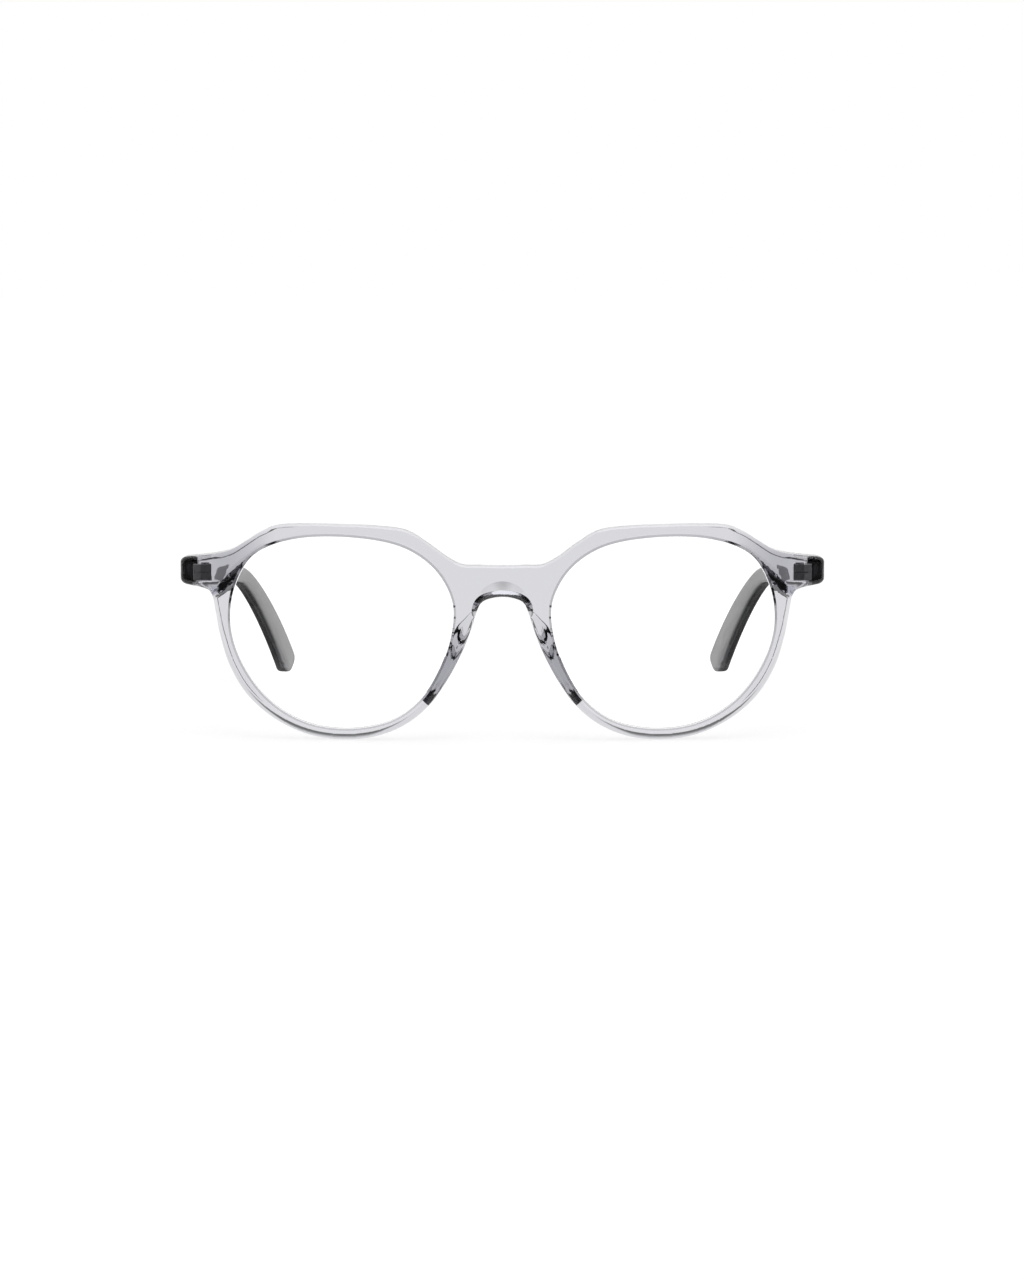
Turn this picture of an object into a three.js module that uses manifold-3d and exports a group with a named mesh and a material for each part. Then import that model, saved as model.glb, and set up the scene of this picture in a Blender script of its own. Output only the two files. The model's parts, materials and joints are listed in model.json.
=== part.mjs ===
// Round eyeglasses in clear grey acetate, standing open on the lower rims and the temple tips.
// Millimetres, +Z up, the front faces -Y, and +X is the wearer's left.
// The origin is at the bottom centre of the whole pair.
// The front is cut from a flat sheet and bent: it is drawn flat, then each point moves back to the bend.

import * as THREE from "three";
import { mergeVertices } from "three/addons/utils/BufferGeometryUtils.js";
import { TessellateModifier } from "three/addons/modifiers/TessellateModifier.js";
import Module from "manifold-3d";

const wasm = await Module();
wasm.setup();

// Lenses, measured over the crest of the bevelled edge
const LENS_WIDTH = 50;
const LENS_HEIGHT = 43.1;
const LENS_THICKNESS = 1.6;
const LENS_RADIUS = 120;
const LENS_CREST = 0.2;
const LENS_CLEARANCE = 0.1;

// The front: a bent acetate sheet
const BRIDGE_WIDTH = 20;
const BRIDGE_DEPTH = 6.8;
const ARCH_RISE = 8;
const RIM_WIDTH = 2.4;
const GROOVE_DEPTH = 0.5;
const SHEET = 4;
const BEND_RADIUS = 320;
const EDGE_WIDTH = 0.9;
const EDGE_DEPTH = 0.8;
const SADDLE_WIDTH = 9.3;
const SADDLE_RISE = 1.3;
const SADDLE_START = 1;
const SADDLE_SHELF = 3.1;
const SCOOP_RADIUS = 5.8;
const SCOOP_RISE = 3.25;
const SCOOP_DEPTH = 2.7;

// End pieces, where the front thickens to take the hinges
const END_REACH = 8.7;
const END_HEIGHT = 5.5;
const END_RISE = 13.4;
const END_THICKNESS = 5.6;
const END_RAMP = 3.4;
const END_SWELL = 14;

// Nose pads, glued to the back of the nose flanks
const PAD_HEIGHT = 4.8;
const PAD_WIDTH = 2.1;
const PAD_INSET = 0.12;
const GLUE_GAP = 0.1;

// Hinges with three knuckles, and their screws
const HINGE_HEIGHT = 3.5;
const HINGE_DROP = 0.65;
const HINGE_REACH = 1.7;
const KNUCKLE_RADIUS = 1.3;
const MIDDLE_KNUCKLE = 1.1;
const LEAF_THICKNESS = 1;
const FRONT_LEAF_TAIL = 2.7;
const ROOT_DEPTH = 1.3;
const ROOT_WIDTH = 1.6;
const TEMPLE_LEAF_LENGTH = 7.5;
const TEMPLE_LEAF_HEIGHT = 3.2;
const LEAF_PROUD = 0.3;
const HINGE_CLEARANCE = 0.12;
const SLOT_CLEARANCE = 0.05;
const SCREW_RADIUS = 0.5;
const SCREW_CLEARANCE = 0.07;
const SCREW_HEAD_RADIUS = 0.95;
const SCREW_HEAD_HEIGHT = 0.6;
const SCREW_HEAD_SUNK = 0.35;
const SCREW_SLOT_WIDTH = 0.3;
const SCREW_SLOT_DEPTH = 0.25;

// Temples and the metal cores inside them
const TEMPLE_THICKNESS = 4;
const SHAFT_LENGTH = 88;
const EAR_LENGTH = 55;
const SHAFT_HEIGHT = 3.8;
const EAR_HEIGHT = 6.2;
const TIP_CORNER = 2.2;
const TIP_EDGE = 0.8;
const BUTT_GAP = 0.15;
const CORE_THICKNESS = 0.9;
const CORE_HEIGHT = 2.2;
const CORE_CLEARANCE = 0.15;
const CORE_START = 1.5;

// One overrun for every cut, the coarsest facet, and the distance at which two corners are one
const OVERRUN = 1;
const FACET = 5;
const MERGE_DISTANCE = 0.001;

// Angles of a temple below and in from straight back, at the shaft and at the tip
const SHAFT_DROP = THREE.MathUtils.degToRad(5.6);
const SHAFT_TOE = THREE.MathUtils.degToRad(2.7);
const EAR_DROP = THREE.MathUtils.degToRad(50);
const EAR_TOE = THREE.MathUtils.degToRad(11.4);
const TIP_TOE = THREE.MathUtils.degToRad(18);

// Outlines: shares of a half size about the lens centre, temple side positive
const LENS_OUTLINE_SHARES = [
  [1.0, 0.052], [0.958, 0.478], [0.772, 0.813], [0.408, 0.973],
  [-0.07, 0.993], [-0.518, 0.902], [-0.82, 0.674], [-0.981, 0.341],
  [-0.977, -0.011], [-0.873, -0.37], [-0.698, -0.689], [-0.431, -0.913],
  [-0.052, -0.998], [0.334, -0.933], [0.658, -0.707], [0.891, -0.351],
];
const BROW_SHARES = [
  [-0.848, 0.717], [-0.7, 0.841], [-0.518, 0.961], [-0.27, 0.998], [0.024, 1.01],
  [0.307, 1.013], [0.525, 0.998], [0.667, 0.932], [0.784, 0.848], [0.907, 0.765],
];
const RIM_SHARES = [
  [1.036, 0.186], [0.999, -0.041], [0.921, -0.325], [0.775, -0.597], [0.554, -0.813],
  [0.281, -0.955], [-0.008, -1.0], [-0.285, -0.963], [-0.526, -0.845],
];
const NOSE_SHARES = [
  [-0.714, -0.662], [-0.858, -0.427], [-0.97, -0.185], [-1.045, 0.029],
];

// Shares of the half bridge width and of the bridge depth above the arch
const BRIDGE_TOP_SHARES = [[0, 1], [0.506, 1.013], [0.877, 1.041]];
const ARCH_SHARES = [[0.566, -0.516], [0.462, -0.199], [0.273, -0.057], [0, 0]];

// Shares of the end piece's reach past the rim and of its height about its middle
const END_TOP_SHARES = [[0.172, 0.634], [0.801, 0.534], [0.86, 0.52]];
const END_LOW_SHARES = [[0.84, -0.583], [0.794, -0.597], [0.362, -0.745], [0.195, -1.01]];
const END_CORNER_SHARES = [
  [[0.86, 0.52], [1.0, 0.49], [1.0, 0.31]],
  [[1.0, -0.345], [0.995, -0.54], [0.84, -0.583]],
];

// Width of the saddle's slanted shelf at the front face, against its full width
const SADDLE_FRONT_SHARE = 0.6;

// A nose pad's height and width at even steps down the flank, and its section from the nose side to the lens side
const PAD_REACH_SHARE = 0.82;
const PAD_HEIGHT_SHARES = [0.05, 0.09, 0.18, 0.48, 0.84, 0.98, 1, 1, 0.97, 0.8, 0.5, 0.12];
const PAD_WIDTH_SHARES = [0.3, 0.62, 0.92, 1, 1, 1, 1, 1, 1, 1, 1, 0.94];
const PAD_SECTION_SHARES = [
  [0, 0], [0.02, 0.5], [0.07, 0.8], [0.18, 0.95], [0.36, 1], [0.66, 1], [0.86, 0.94], [0.96, 0.76], [1, 0.4], [1, 0],
];

// Along the temple: where the shaft is slimmest, the length of the paddle's swell, the ear's chord against
// its curve, the reach of its curve's handles, and the core's end and its height there
const SLIM_SHARE = 0.6;
const SWELL_SHARE = 1;
const CHORD_SHARE = 0.985;
const HANDLE_SHARE = 0.33;
const CORE_END_SHARE = 0.8;
const CORE_TAPER_SHARE = 0.6;

// Worked out from the sizes above
const LENS_X = (LENS_WIDTH + BRIDGE_WIDTH) / 2;
const RIM_HALF_WIDTH = LENS_WIDTH / 2 - GROOVE_DEPTH + RIM_WIDTH;
const RIM_HALF_HEIGHT = LENS_HEIGHT / 2 - GROOVE_DEPTH + RIM_WIDTH;
const LENS_Z = RIM_HALF_HEIGHT;
const ARCH_Z = LENS_Z + ARCH_RISE;
const SIDE_X = LENS_X + RIM_HALF_WIDTH;
const END_X = SIDE_X + END_REACH;
const END_Z = LENS_Z + END_RISE;
const HINGE_X = END_X - TEMPLE_THICKNESS - HINGE_REACH;
const HINGE_Z = END_Z - HINGE_DROP;
const JOINT_Y = bend(END_X - TEMPLE_THICKNESS / 2) + END_THICKNESS;

// How far back the bent sheet lies at a distance from the middle
function bend(x) {
  return BEND_RADIUS - Math.sqrt(BEND_RADIUS ** 2 - x ** 2);
}

// 0 before a ramp and 1 past it
function ramp(distance, length) {
  return THREE.MathUtils.smoothstep(distance, 0, length);
}

// Points of the outline, from shares
const rimPoint = ([x, z]) => new THREE.Vector2(LENS_X + x * RIM_HALF_WIDTH, LENS_Z + z * RIM_HALF_HEIGHT);
const bridgePoint = ([x, z]) => new THREE.Vector2((x * BRIDGE_WIDTH) / 2, ARCH_Z + z * BRIDGE_DEPTH);
const endPoint = ([x, z]) => new THREE.Vector2(SIDE_X + x * END_REACH, END_Z + z * END_HEIGHT);
const mirrored = (point) => new THREE.Vector2(-point.x, point.y);

// The flat outline of the front: brow, end piece, rim, nose and arch, then the other half back again
function frontOutline() {
  const topHalf = [
    ...BRIDGE_TOP_SHARES.map(bridgePoint),
    ...BROW_SHARES.map(rimPoint),
    ...END_TOP_SHARES.map(endPoint),
  ];
  const lowHalf = [
    ...END_LOW_SHARES.map(endPoint),
    ...RIM_SHARES.map(rimPoint),
    ...NOSE_SHARES.map(rimPoint),
    ...ARCH_SHARES.map(bridgePoint),
  ];
  const top = new THREE.SplineCurve([...topHalf.slice(1).reverse().map(mirrored), ...topHalf]);
  const low = new THREE.SplineCurve([...lowHalf, ...lowHalf.slice(0, -1).reverse().map(mirrored)]);
  const corners = END_CORNER_SHARES.map((shares) =>
    new THREE.QuadraticBezierCurve(...shares.map(endPoint)).getPoints(4),
  );
  const right = corners.flat();
  const left = right.map(mirrored).reverse();
  return [...inner(top.getSpacedPoints(80)), ...right, ...inner(low.getSpacedPoints(132)), ...left];
}

// A run of points without its two ends, which its neighbours hold
function inner(points) {
  return points.slice(1, -1);
}

// A lens outline on the right of the origin's plane, grown or shrunk square to itself
function lensOutline(growth) {
  const halfWidth = LENS_WIDTH / 2;
  const halfHeight = LENS_HEIGHT / 2;
  const points = LENS_OUTLINE_SHARES.map(
    ([x, z]) => new THREE.Vector3(LENS_X + x * halfWidth, LENS_Z + z * halfHeight, 0),
  );
  const spaced = new THREE.CatmullRomCurve3(points, true, "catmullrom", 0.5).getSpacedPoints(84).slice(0, -1);
  return spaced.map((point, i) => {
    const along = new THREE.Vector3().subVectors(spaced.at((i + 1) % spaced.length), spaced.at(i - 1)).normalize();
    return new THREE.Vector2(point.x + along.y * growth, point.y - along.x * growth);
  });
}

// A plate cut from the sheet: its outline stands in XZ and it runs back from front to back along Y
function plate(outline, front, back, edge) {
  const geometry = new THREE.ExtrudeGeometry(new THREE.Shape(outline), {
    depth: back - front - 2 * edge.depth,
    bevelEnabled: edge.depth > 0,
    bevelThickness: edge.depth,
    bevelSize: edge.width,
    bevelOffset: -edge.width,
    bevelSegments: edge.steps,
    steps: 1,
  });
  geometry.rotateX(Math.PI / 2);
  geometry.translate(0, back - edge.depth, 0);
  return geometry;
}

const SQUARE_EDGE = { depth: 0, width: 0, steps: 1 };

// A mesh without normals and with shared corners, as booleans need it
function closed(geometry) {
  const bare = geometry.index ? geometry.toNonIndexed() : geometry.clone();
  bare.deleteAttribute("normal");
  bare.deleteAttribute("uv");
  return mergeVertices(bare, MERGE_DISTANCE);
}

function solid(geometry) {
  const merged = closed(geometry);
  return new wasm.Manifold(
    new wasm.Mesh({
      numProp: 3,
      vertProperties: merged.attributes.position.array,
      triVerts: new Uint32Array(merged.index.array),
    }),
  );
}

function fromSolid(made) {
  const { vertProperties, triVerts } = made.getMesh();
  const geometry = new THREE.BufferGeometry();
  geometry.setAttribute("position", new THREE.BufferAttribute(vertProperties, 3));
  geometry.setIndex(new THREE.BufferAttribute(triVerts, 1));
  return geometry;
}

// Facets no longer than the given length, so that a flat face can bend
function refined(geometry, longest) {
  const flat = geometry.index ? geometry.toNonIndexed() : geometry;
  flat.deleteAttribute("normal");
  flat.deleteAttribute("uv");
  return new TessellateModifier(longest, 8).modify(flat);
}

// Moves each corner of a geometry along Y by a rule of its place
function shiftBack(geometry, rule) {
  const position = geometry.attributes.position;
  for (let i = 0; i < position.count; i += 1) {
    position.setY(i, rule(position.getX(i), position.getY(i), position.getZ(i)));
  }
  return geometry;
}

// A closed skin over rings of equal count, capped flat at both ends
function loft(rings) {
  const size = rings[0].length;
  const corners = rings.flat();
  const faces = [];
  for (let r = 0; r < rings.length - 1; r += 1) {
    for (let i = 0; i < size; i += 1) {
      const a = r * size + i;
      const b = r * size + ((i + 1) % size);
      faces.push(a, b, b + size, a, b + size, a + size);
    }
  }
  const last = (rings.length - 1) * size;
  for (let i = 1; i < size - 1; i += 1) {
    faces.push(0, i + 1, i);
    faces.push(last, last + i, last + i + 1);
  }
  const geometry = new THREE.BufferGeometry().setFromPoints(corners);
  geometry.setIndex(faces);
  return geometry;
}

// A box from its lowest to its highest corner
function block(low, high) {
  const size = high.map((value, i) => value - low[i]);
  const middle = high.map((value, i) => (value + low[i]) / 2);
  return new THREE.BoxGeometry(...size).translate(...middle);
}

// An upright cylinder about the hinge axis
function drum(radius, bottom, top) {
  const geometry = new THREE.CylinderGeometry(radius, radius, top - bottom, 20);
  geometry.rotateX(Math.PI / 2);
  return geometry.translate(0, 0, (top + bottom) / 2);
}

// A straight-sided solid over a plan drawn in XY
function prism(points, bottom, top) {
  const shape = new THREE.Shape(points.map(([x, y]) => new THREE.Vector2(x, y)));
  const geometry = new THREE.ExtrudeGeometry(shape, { depth: top - bottom, bevelEnabled: false });
  return geometry.translate(0, 0, bottom);
}

// Depth of a lens's middle surface: a sphere, tilted to lie along the bend at the lens centre
function lensDepth(x, z) {
  const away = Math.abs(x) - LENS_X;
  const slope = LENS_X / Math.sqrt(BEND_RADIUS ** 2 - LENS_X ** 2);
  const edge = (LENS_WIDTH + LENS_HEIGHT) / 4;
  const cap = (radius) => LENS_RADIUS - Math.sqrt(LENS_RADIUS ** 2 - radius ** 2);
  return bend(LENS_X) + SHEET / 2 + slope * away + cap(Math.hypot(away, z - LENS_Z)) - cap(edge);
}

// A lens, or with clearance the space cut for it: a bevelled plate bowed to the sphere
function lensGeometry(clearance, longest) {
  const half = LENS_THICKNESS / 2 + clearance;
  const crest = LENS_CREST / 2 + clearance;
  const edge = { depth: half - crest, width: GROOVE_DEPTH, steps: 1 };
  const flat = plate(lensOutline(clearance - LENS_CLEARANCE), -half, half, edge);
  return shiftBack(refined(flat, longest), (x, y, z) => y + lensDepth(x, z));
}

// 0 on the sheet and 1 on the thick end piece
function endShare(x, z) {
  const swollen = LENS_X + LENS_WIDTH / 2 - GROOVE_DEPTH + END_RAMP;
  const outward = ramp(Math.abs(x) - swollen + END_SWELL, END_SWELL);
  const upward = ramp(z - END_Z + END_HEIGHT / 2 + END_RAMP, END_RAMP);
  return outward * upward;
}

// Where a point of the flat sheet goes: the front half follows the bend, the back half also thickens
function bentSheet(x, y, z) {
  if (y < SHEET / 2) return bend(x) + y;
  const thick = endShare(x, z);
  const back = THREE.MathUtils.lerp(bend(x) + SHEET, JOINT_Y, thick);
  return back - (SHEET - y) * (1 - thick);
}

// The cut behind the bridge arch that rests on the nose: a slanted shelf, and a shallow cone above it
function saddleCutters() {
  const back = SHEET + OVERRUN;
  const half = SADDLE_WIDTH / 2;
  const slope = SADDLE_RISE / (SADDLE_SHELF - SADDLE_START);
  const ring = (halfWidth, depth, rise) => [
    new THREE.Vector3(halfWidth, depth, ARCH_Z - 2 * OVERRUN),
    new THREE.Vector3(-halfWidth, depth, ARCH_Z - 2 * OVERRUN),
    new THREE.Vector3(-halfWidth, depth, ARCH_Z + rise),
    new THREE.Vector3(halfWidth, depth, ARCH_Z + rise),
  ];
  const shelf = loft([
    ring(half * SADDLE_FRONT_SHARE, 0, -slope * SADDLE_START),
    ring(half, SADDLE_SHELF, SADDLE_RISE),
    ring(half, back, SADDLE_RISE),
  ]);
  const profile = [
    new THREE.Vector2(0, SHEET - SCOOP_DEPTH),
    new THREE.Vector2(SCOOP_RADIUS * (1 + OVERRUN / SCOOP_DEPTH), back),
    new THREE.Vector2(0, back),
  ];
  const scoop = new THREE.LatheGeometry(profile, 48).translate(0, 0, ARCH_Z + SCOOP_RISE - SCOOP_RADIUS);
  return [shelf, scoop];
}

// Both copies of a cutter, left and right of the middle plane
function pair(geometry) {
  const one = solid(geometry);
  return [one, one.mirror([1, 0, 0])];
}

// Space in the end piece for the front leaf: a recess open behind, a slot under the back and the root's pocket
function endPieceCutters() {
  const high = HINGE_HEIGHT / 2 + HINGE_CLEARANCE;
  const leafBack = -KNUCKLE_RADIUS - HINGE_CLEARANCE;
  const leafFront = leafBack - LEAF_THICKNESS;
  const tail = FRONT_LEAF_TAIL + HINGE_CLEARANCE;
  const headTop = HINGE_HEIGHT / 2 - SCREW_HEAD_SUNK + SCREW_HEAD_HEIGHT + HINGE_CLEARANCE;
  const recess = block(
    [-KNUCKLE_RADIUS - HINGE_CLEARANCE, leafFront - HINGE_CLEARANCE, -headTop],
    [HINGE_REACH, OVERRUN, headTop],
  );
  const slot = block([0, leafFront - HINGE_CLEARANCE, -high], [tail, leafBack + HINGE_CLEARANCE, high]);
  const root = block(
    [tail - ROOT_WIDTH - 2 * HINGE_CLEARANCE, leafFront - ROOT_DEPTH - HINGE_CLEARANCE, -high],
    [tail, leafFront, high],
  );
  return [recess, slot, root].map((cutter) => cutter.translate(HINGE_X, JOINT_Y, HINGE_Z));
}

function frontGeometry() {
  const rounded = { depth: EDGE_DEPTH, width: EDGE_WIDTH, steps: 2 };
  const aperture = plate(lensOutline(-GROOVE_DEPTH), -OVERRUN, SHEET + OVERRUN, SQUARE_EDGE);
  let flat = solid(plate(frontOutline(), 0, SHEET, rounded));
  for (const cutter of saddleCutters()) flat = flat.subtract(solid(cutter));
  for (const cutter of pair(aperture)) flat = flat.subtract(cutter);
  const bent = shiftBack(refined(fromSolid(flat), FACET), bentSheet);
  let front = solid(bent);
  for (const cutter of pair(lensGeometry(LENS_CLEARANCE, LENS_WIDTH))) front = front.subtract(cutter);
  for (const cutter of endPieceCutters()) {
    for (const copy of pair(cutter)) front = front.subtract(copy);
  }
  return fromSolid(front);
}

// A nose pad: a ridge down the flank, which starts thin at the arch and ends steeply below
function padGeometry() {
  const flank = new THREE.SplineCurve([
    bridgePoint(ARCH_SHARES[0]),
    ...NOSE_SHARES.map(rimPoint).reverse(),
    rimPoint(RIM_SHARES.at(-1)),
  ]);
  const steps = PAD_HEIGHT_SHARES.length - 1;
  const rings = PAD_HEIGHT_SHARES.map((heightShare, i) => {
    const place = (i / steps) * PAD_REACH_SHARE;
    const edge = flank.getPointAt(place);
    const along = flank.getTangentAt(place);
    const height = heightShare * PAD_HEIGHT;
    return PAD_SECTION_SHARES.map(([acrossShare, backShare]) => {
      const across = PAD_INSET + acrossShare * PAD_WIDTH_SHARES[i] * PAD_WIDTH;
      const x = edge.x - along.y * across;
      const z = edge.y + along.x * across;
      return new THREE.Vector3(x, bend(x) + SHEET + GLUE_GAP + backShare * height, z);
    });
  });
  return loft(rings);
}

// The front leaf: a plate against the end piece, a sunk root, and the upper and lower knuckles
function frontLeafGeometry() {
  const half = HINGE_HEIGHT / 2;
  const slot = MIDDLE_KNUCKLE / 2 + SLOT_CLEARANCE;
  const leafBack = -KNUCKLE_RADIUS - HINGE_CLEARANCE;
  const leafFront = leafBack - LEAF_THICKNESS;
  const rootLow = FRONT_LEAF_TAIL - ROOT_WIDTH;
  let leaf = solid(block([-KNUCKLE_RADIUS, leafFront, -half], [FRONT_LEAF_TAIL, leafBack, half]));
  leaf = leaf.add(solid(block([rootLow, leafFront - ROOT_DEPTH, -half], [FRONT_LEAF_TAIL, leafFront, half])));
  for (const [bottom, top] of [[-half, -slot], [slot, half]]) {
    leaf = leaf.add(solid(drum(KNUCKLE_RADIUS, bottom, top)));
    leaf = leaf.add(solid(block([-KNUCKLE_RADIUS, leafBack, bottom], [KNUCKLE_RADIUS, 0, top])));
  }
  leaf = leaf.subtract(solid(drum(SCREW_RADIUS + SCREW_CLEARANCE, -half - OVERRUN, half + OVERRUN)));
  const sink = half - SCREW_HEAD_SUNK - SCREW_CLEARANCE;
  leaf = leaf.subtract(solid(drum(SCREW_HEAD_RADIUS + SCREW_CLEARANCE, sink, half + OVERRUN)));
  return fromSolid(leaf);
}

// The screw: a slotted head sunk in the upper knuckle and a shank through all three
function screwGeometry() {
  const half = HINGE_HEIGHT / 2;
  const seat = half - SCREW_HEAD_SUNK;
  const top = seat + SCREW_HEAD_HEIGHT;
  const head = solid(drum(SCREW_HEAD_RADIUS, seat, top));
  const shank = solid(drum(SCREW_RADIUS, -half, seat + SCREW_SLOT_DEPTH / 2));
  const slot = solid(
    block(
      [-SCREW_HEAD_RADIUS - OVERRUN, -SCREW_SLOT_WIDTH / 2, top - SCREW_SLOT_DEPTH],
      [SCREW_HEAD_RADIUS + OVERRUN, SCREW_SLOT_WIDTH / 2, top + OVERRUN],
    ),
  );
  return fromSolid(head.add(shank).subtract(slot));
}

// Turns a piece from straight back to the temple's own direction, about the hinge
function alongTemple(geometry) {
  return geometry.rotateX(-SHAFT_DROP).rotateZ(SHAFT_TOE);
}

// The temple leaf's plate, or with clearance the pocket for it, in the inner face of the temple
function templeLeafPlate(clearance) {
  const start = KNUCKLE_RADIUS + HINGE_CLEARANCE;
  const inside = HINGE_REACH - LEAF_PROUD;
  const half = TEMPLE_LEAF_HEIGHT / 2 + clearance;
  return alongTemple(
    block(
      [inside - clearance, start - clearance, -half],
      [inside + LEAF_THICKNESS + clearance, start + TEMPLE_LEAF_LENGTH + clearance, half],
    ),
  );
}

// The arm from the middle knuckle to the plate
function templeLeafArm() {
  const half = MIDDLE_KNUCKLE / 2;
  const plateInside = HINGE_REACH - LEAF_PROUD;
  const far = plateInside + LEAF_THICKNESS / 2;
  const end = 2 * KNUCKLE_RADIUS + HINGE_CLEARANCE;
  const plan = [
    [0, 0],
    [KNUCKLE_RADIUS, 0],
    [far, KNUCKLE_RADIUS],
    [far, end],
    [plateInside - LEAF_PROUD, end],
    [-KNUCKLE_RADIUS / 2, KNUCKLE_RADIUS / 2],
  ];
  return prism(plan, -half, half);
}

function templeLeafGeometry() {
  const half = MIDDLE_KNUCKLE / 2;
  const leaf = solid(drum(KNUCKLE_RADIUS, -half, half))
    .add(solid(templeLeafArm()))
    .add(solid(templeLeafPlate(0)))
    .subtract(solid(drum(SCREW_RADIUS + SCREW_CLEARANCE, -half - OVERRUN, half + OVERRUN)));
  return fromSolid(leaf);
}

// The temple's middle line from the joint to the tip, about the hinge
function templePath() {
  const start = new THREE.Vector3(HINGE_REACH + TEMPLE_THICKNESS / 2, BUTT_GAP, HINGE_DROP);
  const heading = (drop, toe) =>
    new THREE.Vector3(-Math.sin(toe) * Math.cos(drop), Math.cos(toe) * Math.cos(drop), -Math.sin(drop));
  const bendPoint = start.clone().addScaledVector(heading(SHAFT_DROP, SHAFT_TOE), SHAFT_LENGTH);
  const corner = (EAR_HEIGHT / 2 - TIP_CORNER) * Math.cos(EAR_DROP) + TIP_CORNER * (1 - Math.sin(EAR_DROP));
  const tipZ = corner - HINGE_Z;
  const fall = bendPoint.z - tipZ;
  const run = Math.sqrt((EAR_LENGTH * CHORD_SHARE) ** 2 - fall ** 2);
  const tip = bendPoint.clone();
  tip.add(new THREE.Vector3(-Math.sin(EAR_TOE) * run, Math.cos(EAR_TOE) * run, -fall));
  const handle = EAR_LENGTH * HANDLE_SHARE;
  const path = new THREE.CurvePath();
  path.add(new THREE.LineCurve3(start, bendPoint));
  path.add(
    new THREE.CubicBezierCurve3(
      bendPoint,
      bendPoint.clone().addScaledVector(heading(SHAFT_DROP, SHAFT_TOE), handle),
      tip.clone().addScaledVector(heading(EAR_DROP, TIP_TOE), -handle),
      tip,
    ),
  );
  return path;
}

// Height of the temple at a distance from the joint: the end piece's, then slimmer, then the ear's paddle
function templeHeight(distance) {
  const slim = THREE.MathUtils.lerp(END_HEIGHT, SHAFT_HEIGHT, ramp(distance, SHAFT_LENGTH * SLIM_SHARE));
  return THREE.MathUtils.lerp(slim, EAR_HEIGHT, ramp(distance - SHAFT_LENGTH, EAR_LENGTH * SWELL_SHARE));
}

// One ring of a section with rounded corners, square to the path except at the joint
function templeRing(path, distance, halfWidth, halfHeight, count) {
  const length = SHAFT_LENGTH + EAR_LENGTH;
  const place = THREE.MathUtils.clamp(distance / length, 0, 1);
  const centre = path.getPointAt(place);
  const back = new THREE.Vector3(0, 1, 0);
  const along = back.lerp(path.getTangentAt(place), ramp(distance, TEMPLE_THICKNESS)).normalize();
  const side = new THREE.Vector3().crossVectors(along, new THREE.Vector3(0, 0, 1)).normalize();
  const up = new THREE.Vector3().crossVectors(side, along);
  const round = (value) => Math.sign(value) * Math.sqrt(Math.abs(value));
  return Array.from({ length: count }, (_, i) => {
    const angle = ((i + 0.5) / count) * 2 * Math.PI;
    return centre
      .clone()
      .addScaledVector(side, -round(Math.cos(angle)) * halfWidth)
      .addScaledVector(up, round(Math.sin(angle)) * halfHeight);
  });
}

function templeGeometry() {
  const path = templePath();
  const length = SHAFT_LENGTH + EAR_LENGTH;
  const rings = [];
  const steps = 26;
  for (let i = 0; i <= steps; i += 1) {
    const distance = ((length - TIP_CORNER) * i) / steps;
    rings.push(templeRing(path, distance, TEMPLE_THICKNESS / 2, templeHeight(distance) / 2, 20));
  }
  const tipSteps = 4;
  for (let i = 1; i <= tipSteps; i += 1) {
    const angle = ((i / tipSteps) * Math.PI) / 2;
    const inward = 1 - Math.cos(angle);
    const halfWidth = TEMPLE_THICKNESS / 2 - TIP_EDGE * inward;
    const halfHeight = EAR_HEIGHT / 2 - TIP_CORNER * inward;
    rings.push(templeRing(path, length - TIP_CORNER * (1 - Math.sin(angle)), halfWidth, halfHeight, 20));
  }
  const channel = coreGeometry(CORE_CLEARANCE, -OVERRUN);
  const armHalf = MIDDLE_KNUCKLE / 2 + HINGE_CLEARANCE;
  const armEnd = 2 * KNUCKLE_RADIUS + 2 * HINGE_CLEARANCE;
  const arm = block([0, -OVERRUN, -armHalf], [HINGE_REACH + LEAF_THICKNESS, armEnd, armHalf]);
  return fromSolid(
    solid(loft(rings))
      .subtract(solid(channel))
      .subtract(solid(templeLeafPlate(HINGE_CLEARANCE)))
      .subtract(solid(arm)),
  );
}

// The flat metal core, or with clearance its channel, which opens at the joint
function coreGeometry(clearance, start) {
  const path = templePath();
  const end = SHAFT_LENGTH + EAR_LENGTH * CORE_END_SHARE + clearance;
  const steps = 22;
  const rings = [];
  for (let i = 0; i <= steps; i += 1) {
    const distance = THREE.MathUtils.lerp(Math.max(start, 0), end, i / steps);
    const taper = THREE.MathUtils.lerp(1, CORE_TAPER_SHARE, i / steps);
    const halfHeight = (CORE_HEIGHT / 2) * taper + clearance;
    rings.push(templeRing(path, distance, CORE_THICKNESS / 2 + clearance, halfHeight, 8));
  }
  if (start < 0) {
    rings.unshift(rings[0].map((corner) => corner.clone().add(new THREE.Vector3(0, start, 0))));
  }
  return loft(rings);
}

// Materials
const acetate = new THREE.MeshStandardMaterial({
  color: 0xd2d2d6, roughness: 0.08, metalness: 0, transparent: true, opacity: 0.55,
});
const lensGlass = new THREE.MeshStandardMaterial({
  color: 0xf8fafa, roughness: 0.02, metalness: 0, transparent: true, opacity: 0.12,
});
const hingeMetal = new THREE.MeshStandardMaterial({ color: 0x8a8a8e, roughness: 0.3, metalness: 1 });
const coreMetal = new THREE.MeshStandardMaterial({ color: 0x9a9ba0, roughness: 0.35, metalness: 1 });

function piece(name, geometry, material) {
  geometry.computeVertexNormals();
  const mesh = new THREE.Mesh(geometry, material);
  mesh.name = name;
  return mesh;
}

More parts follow.
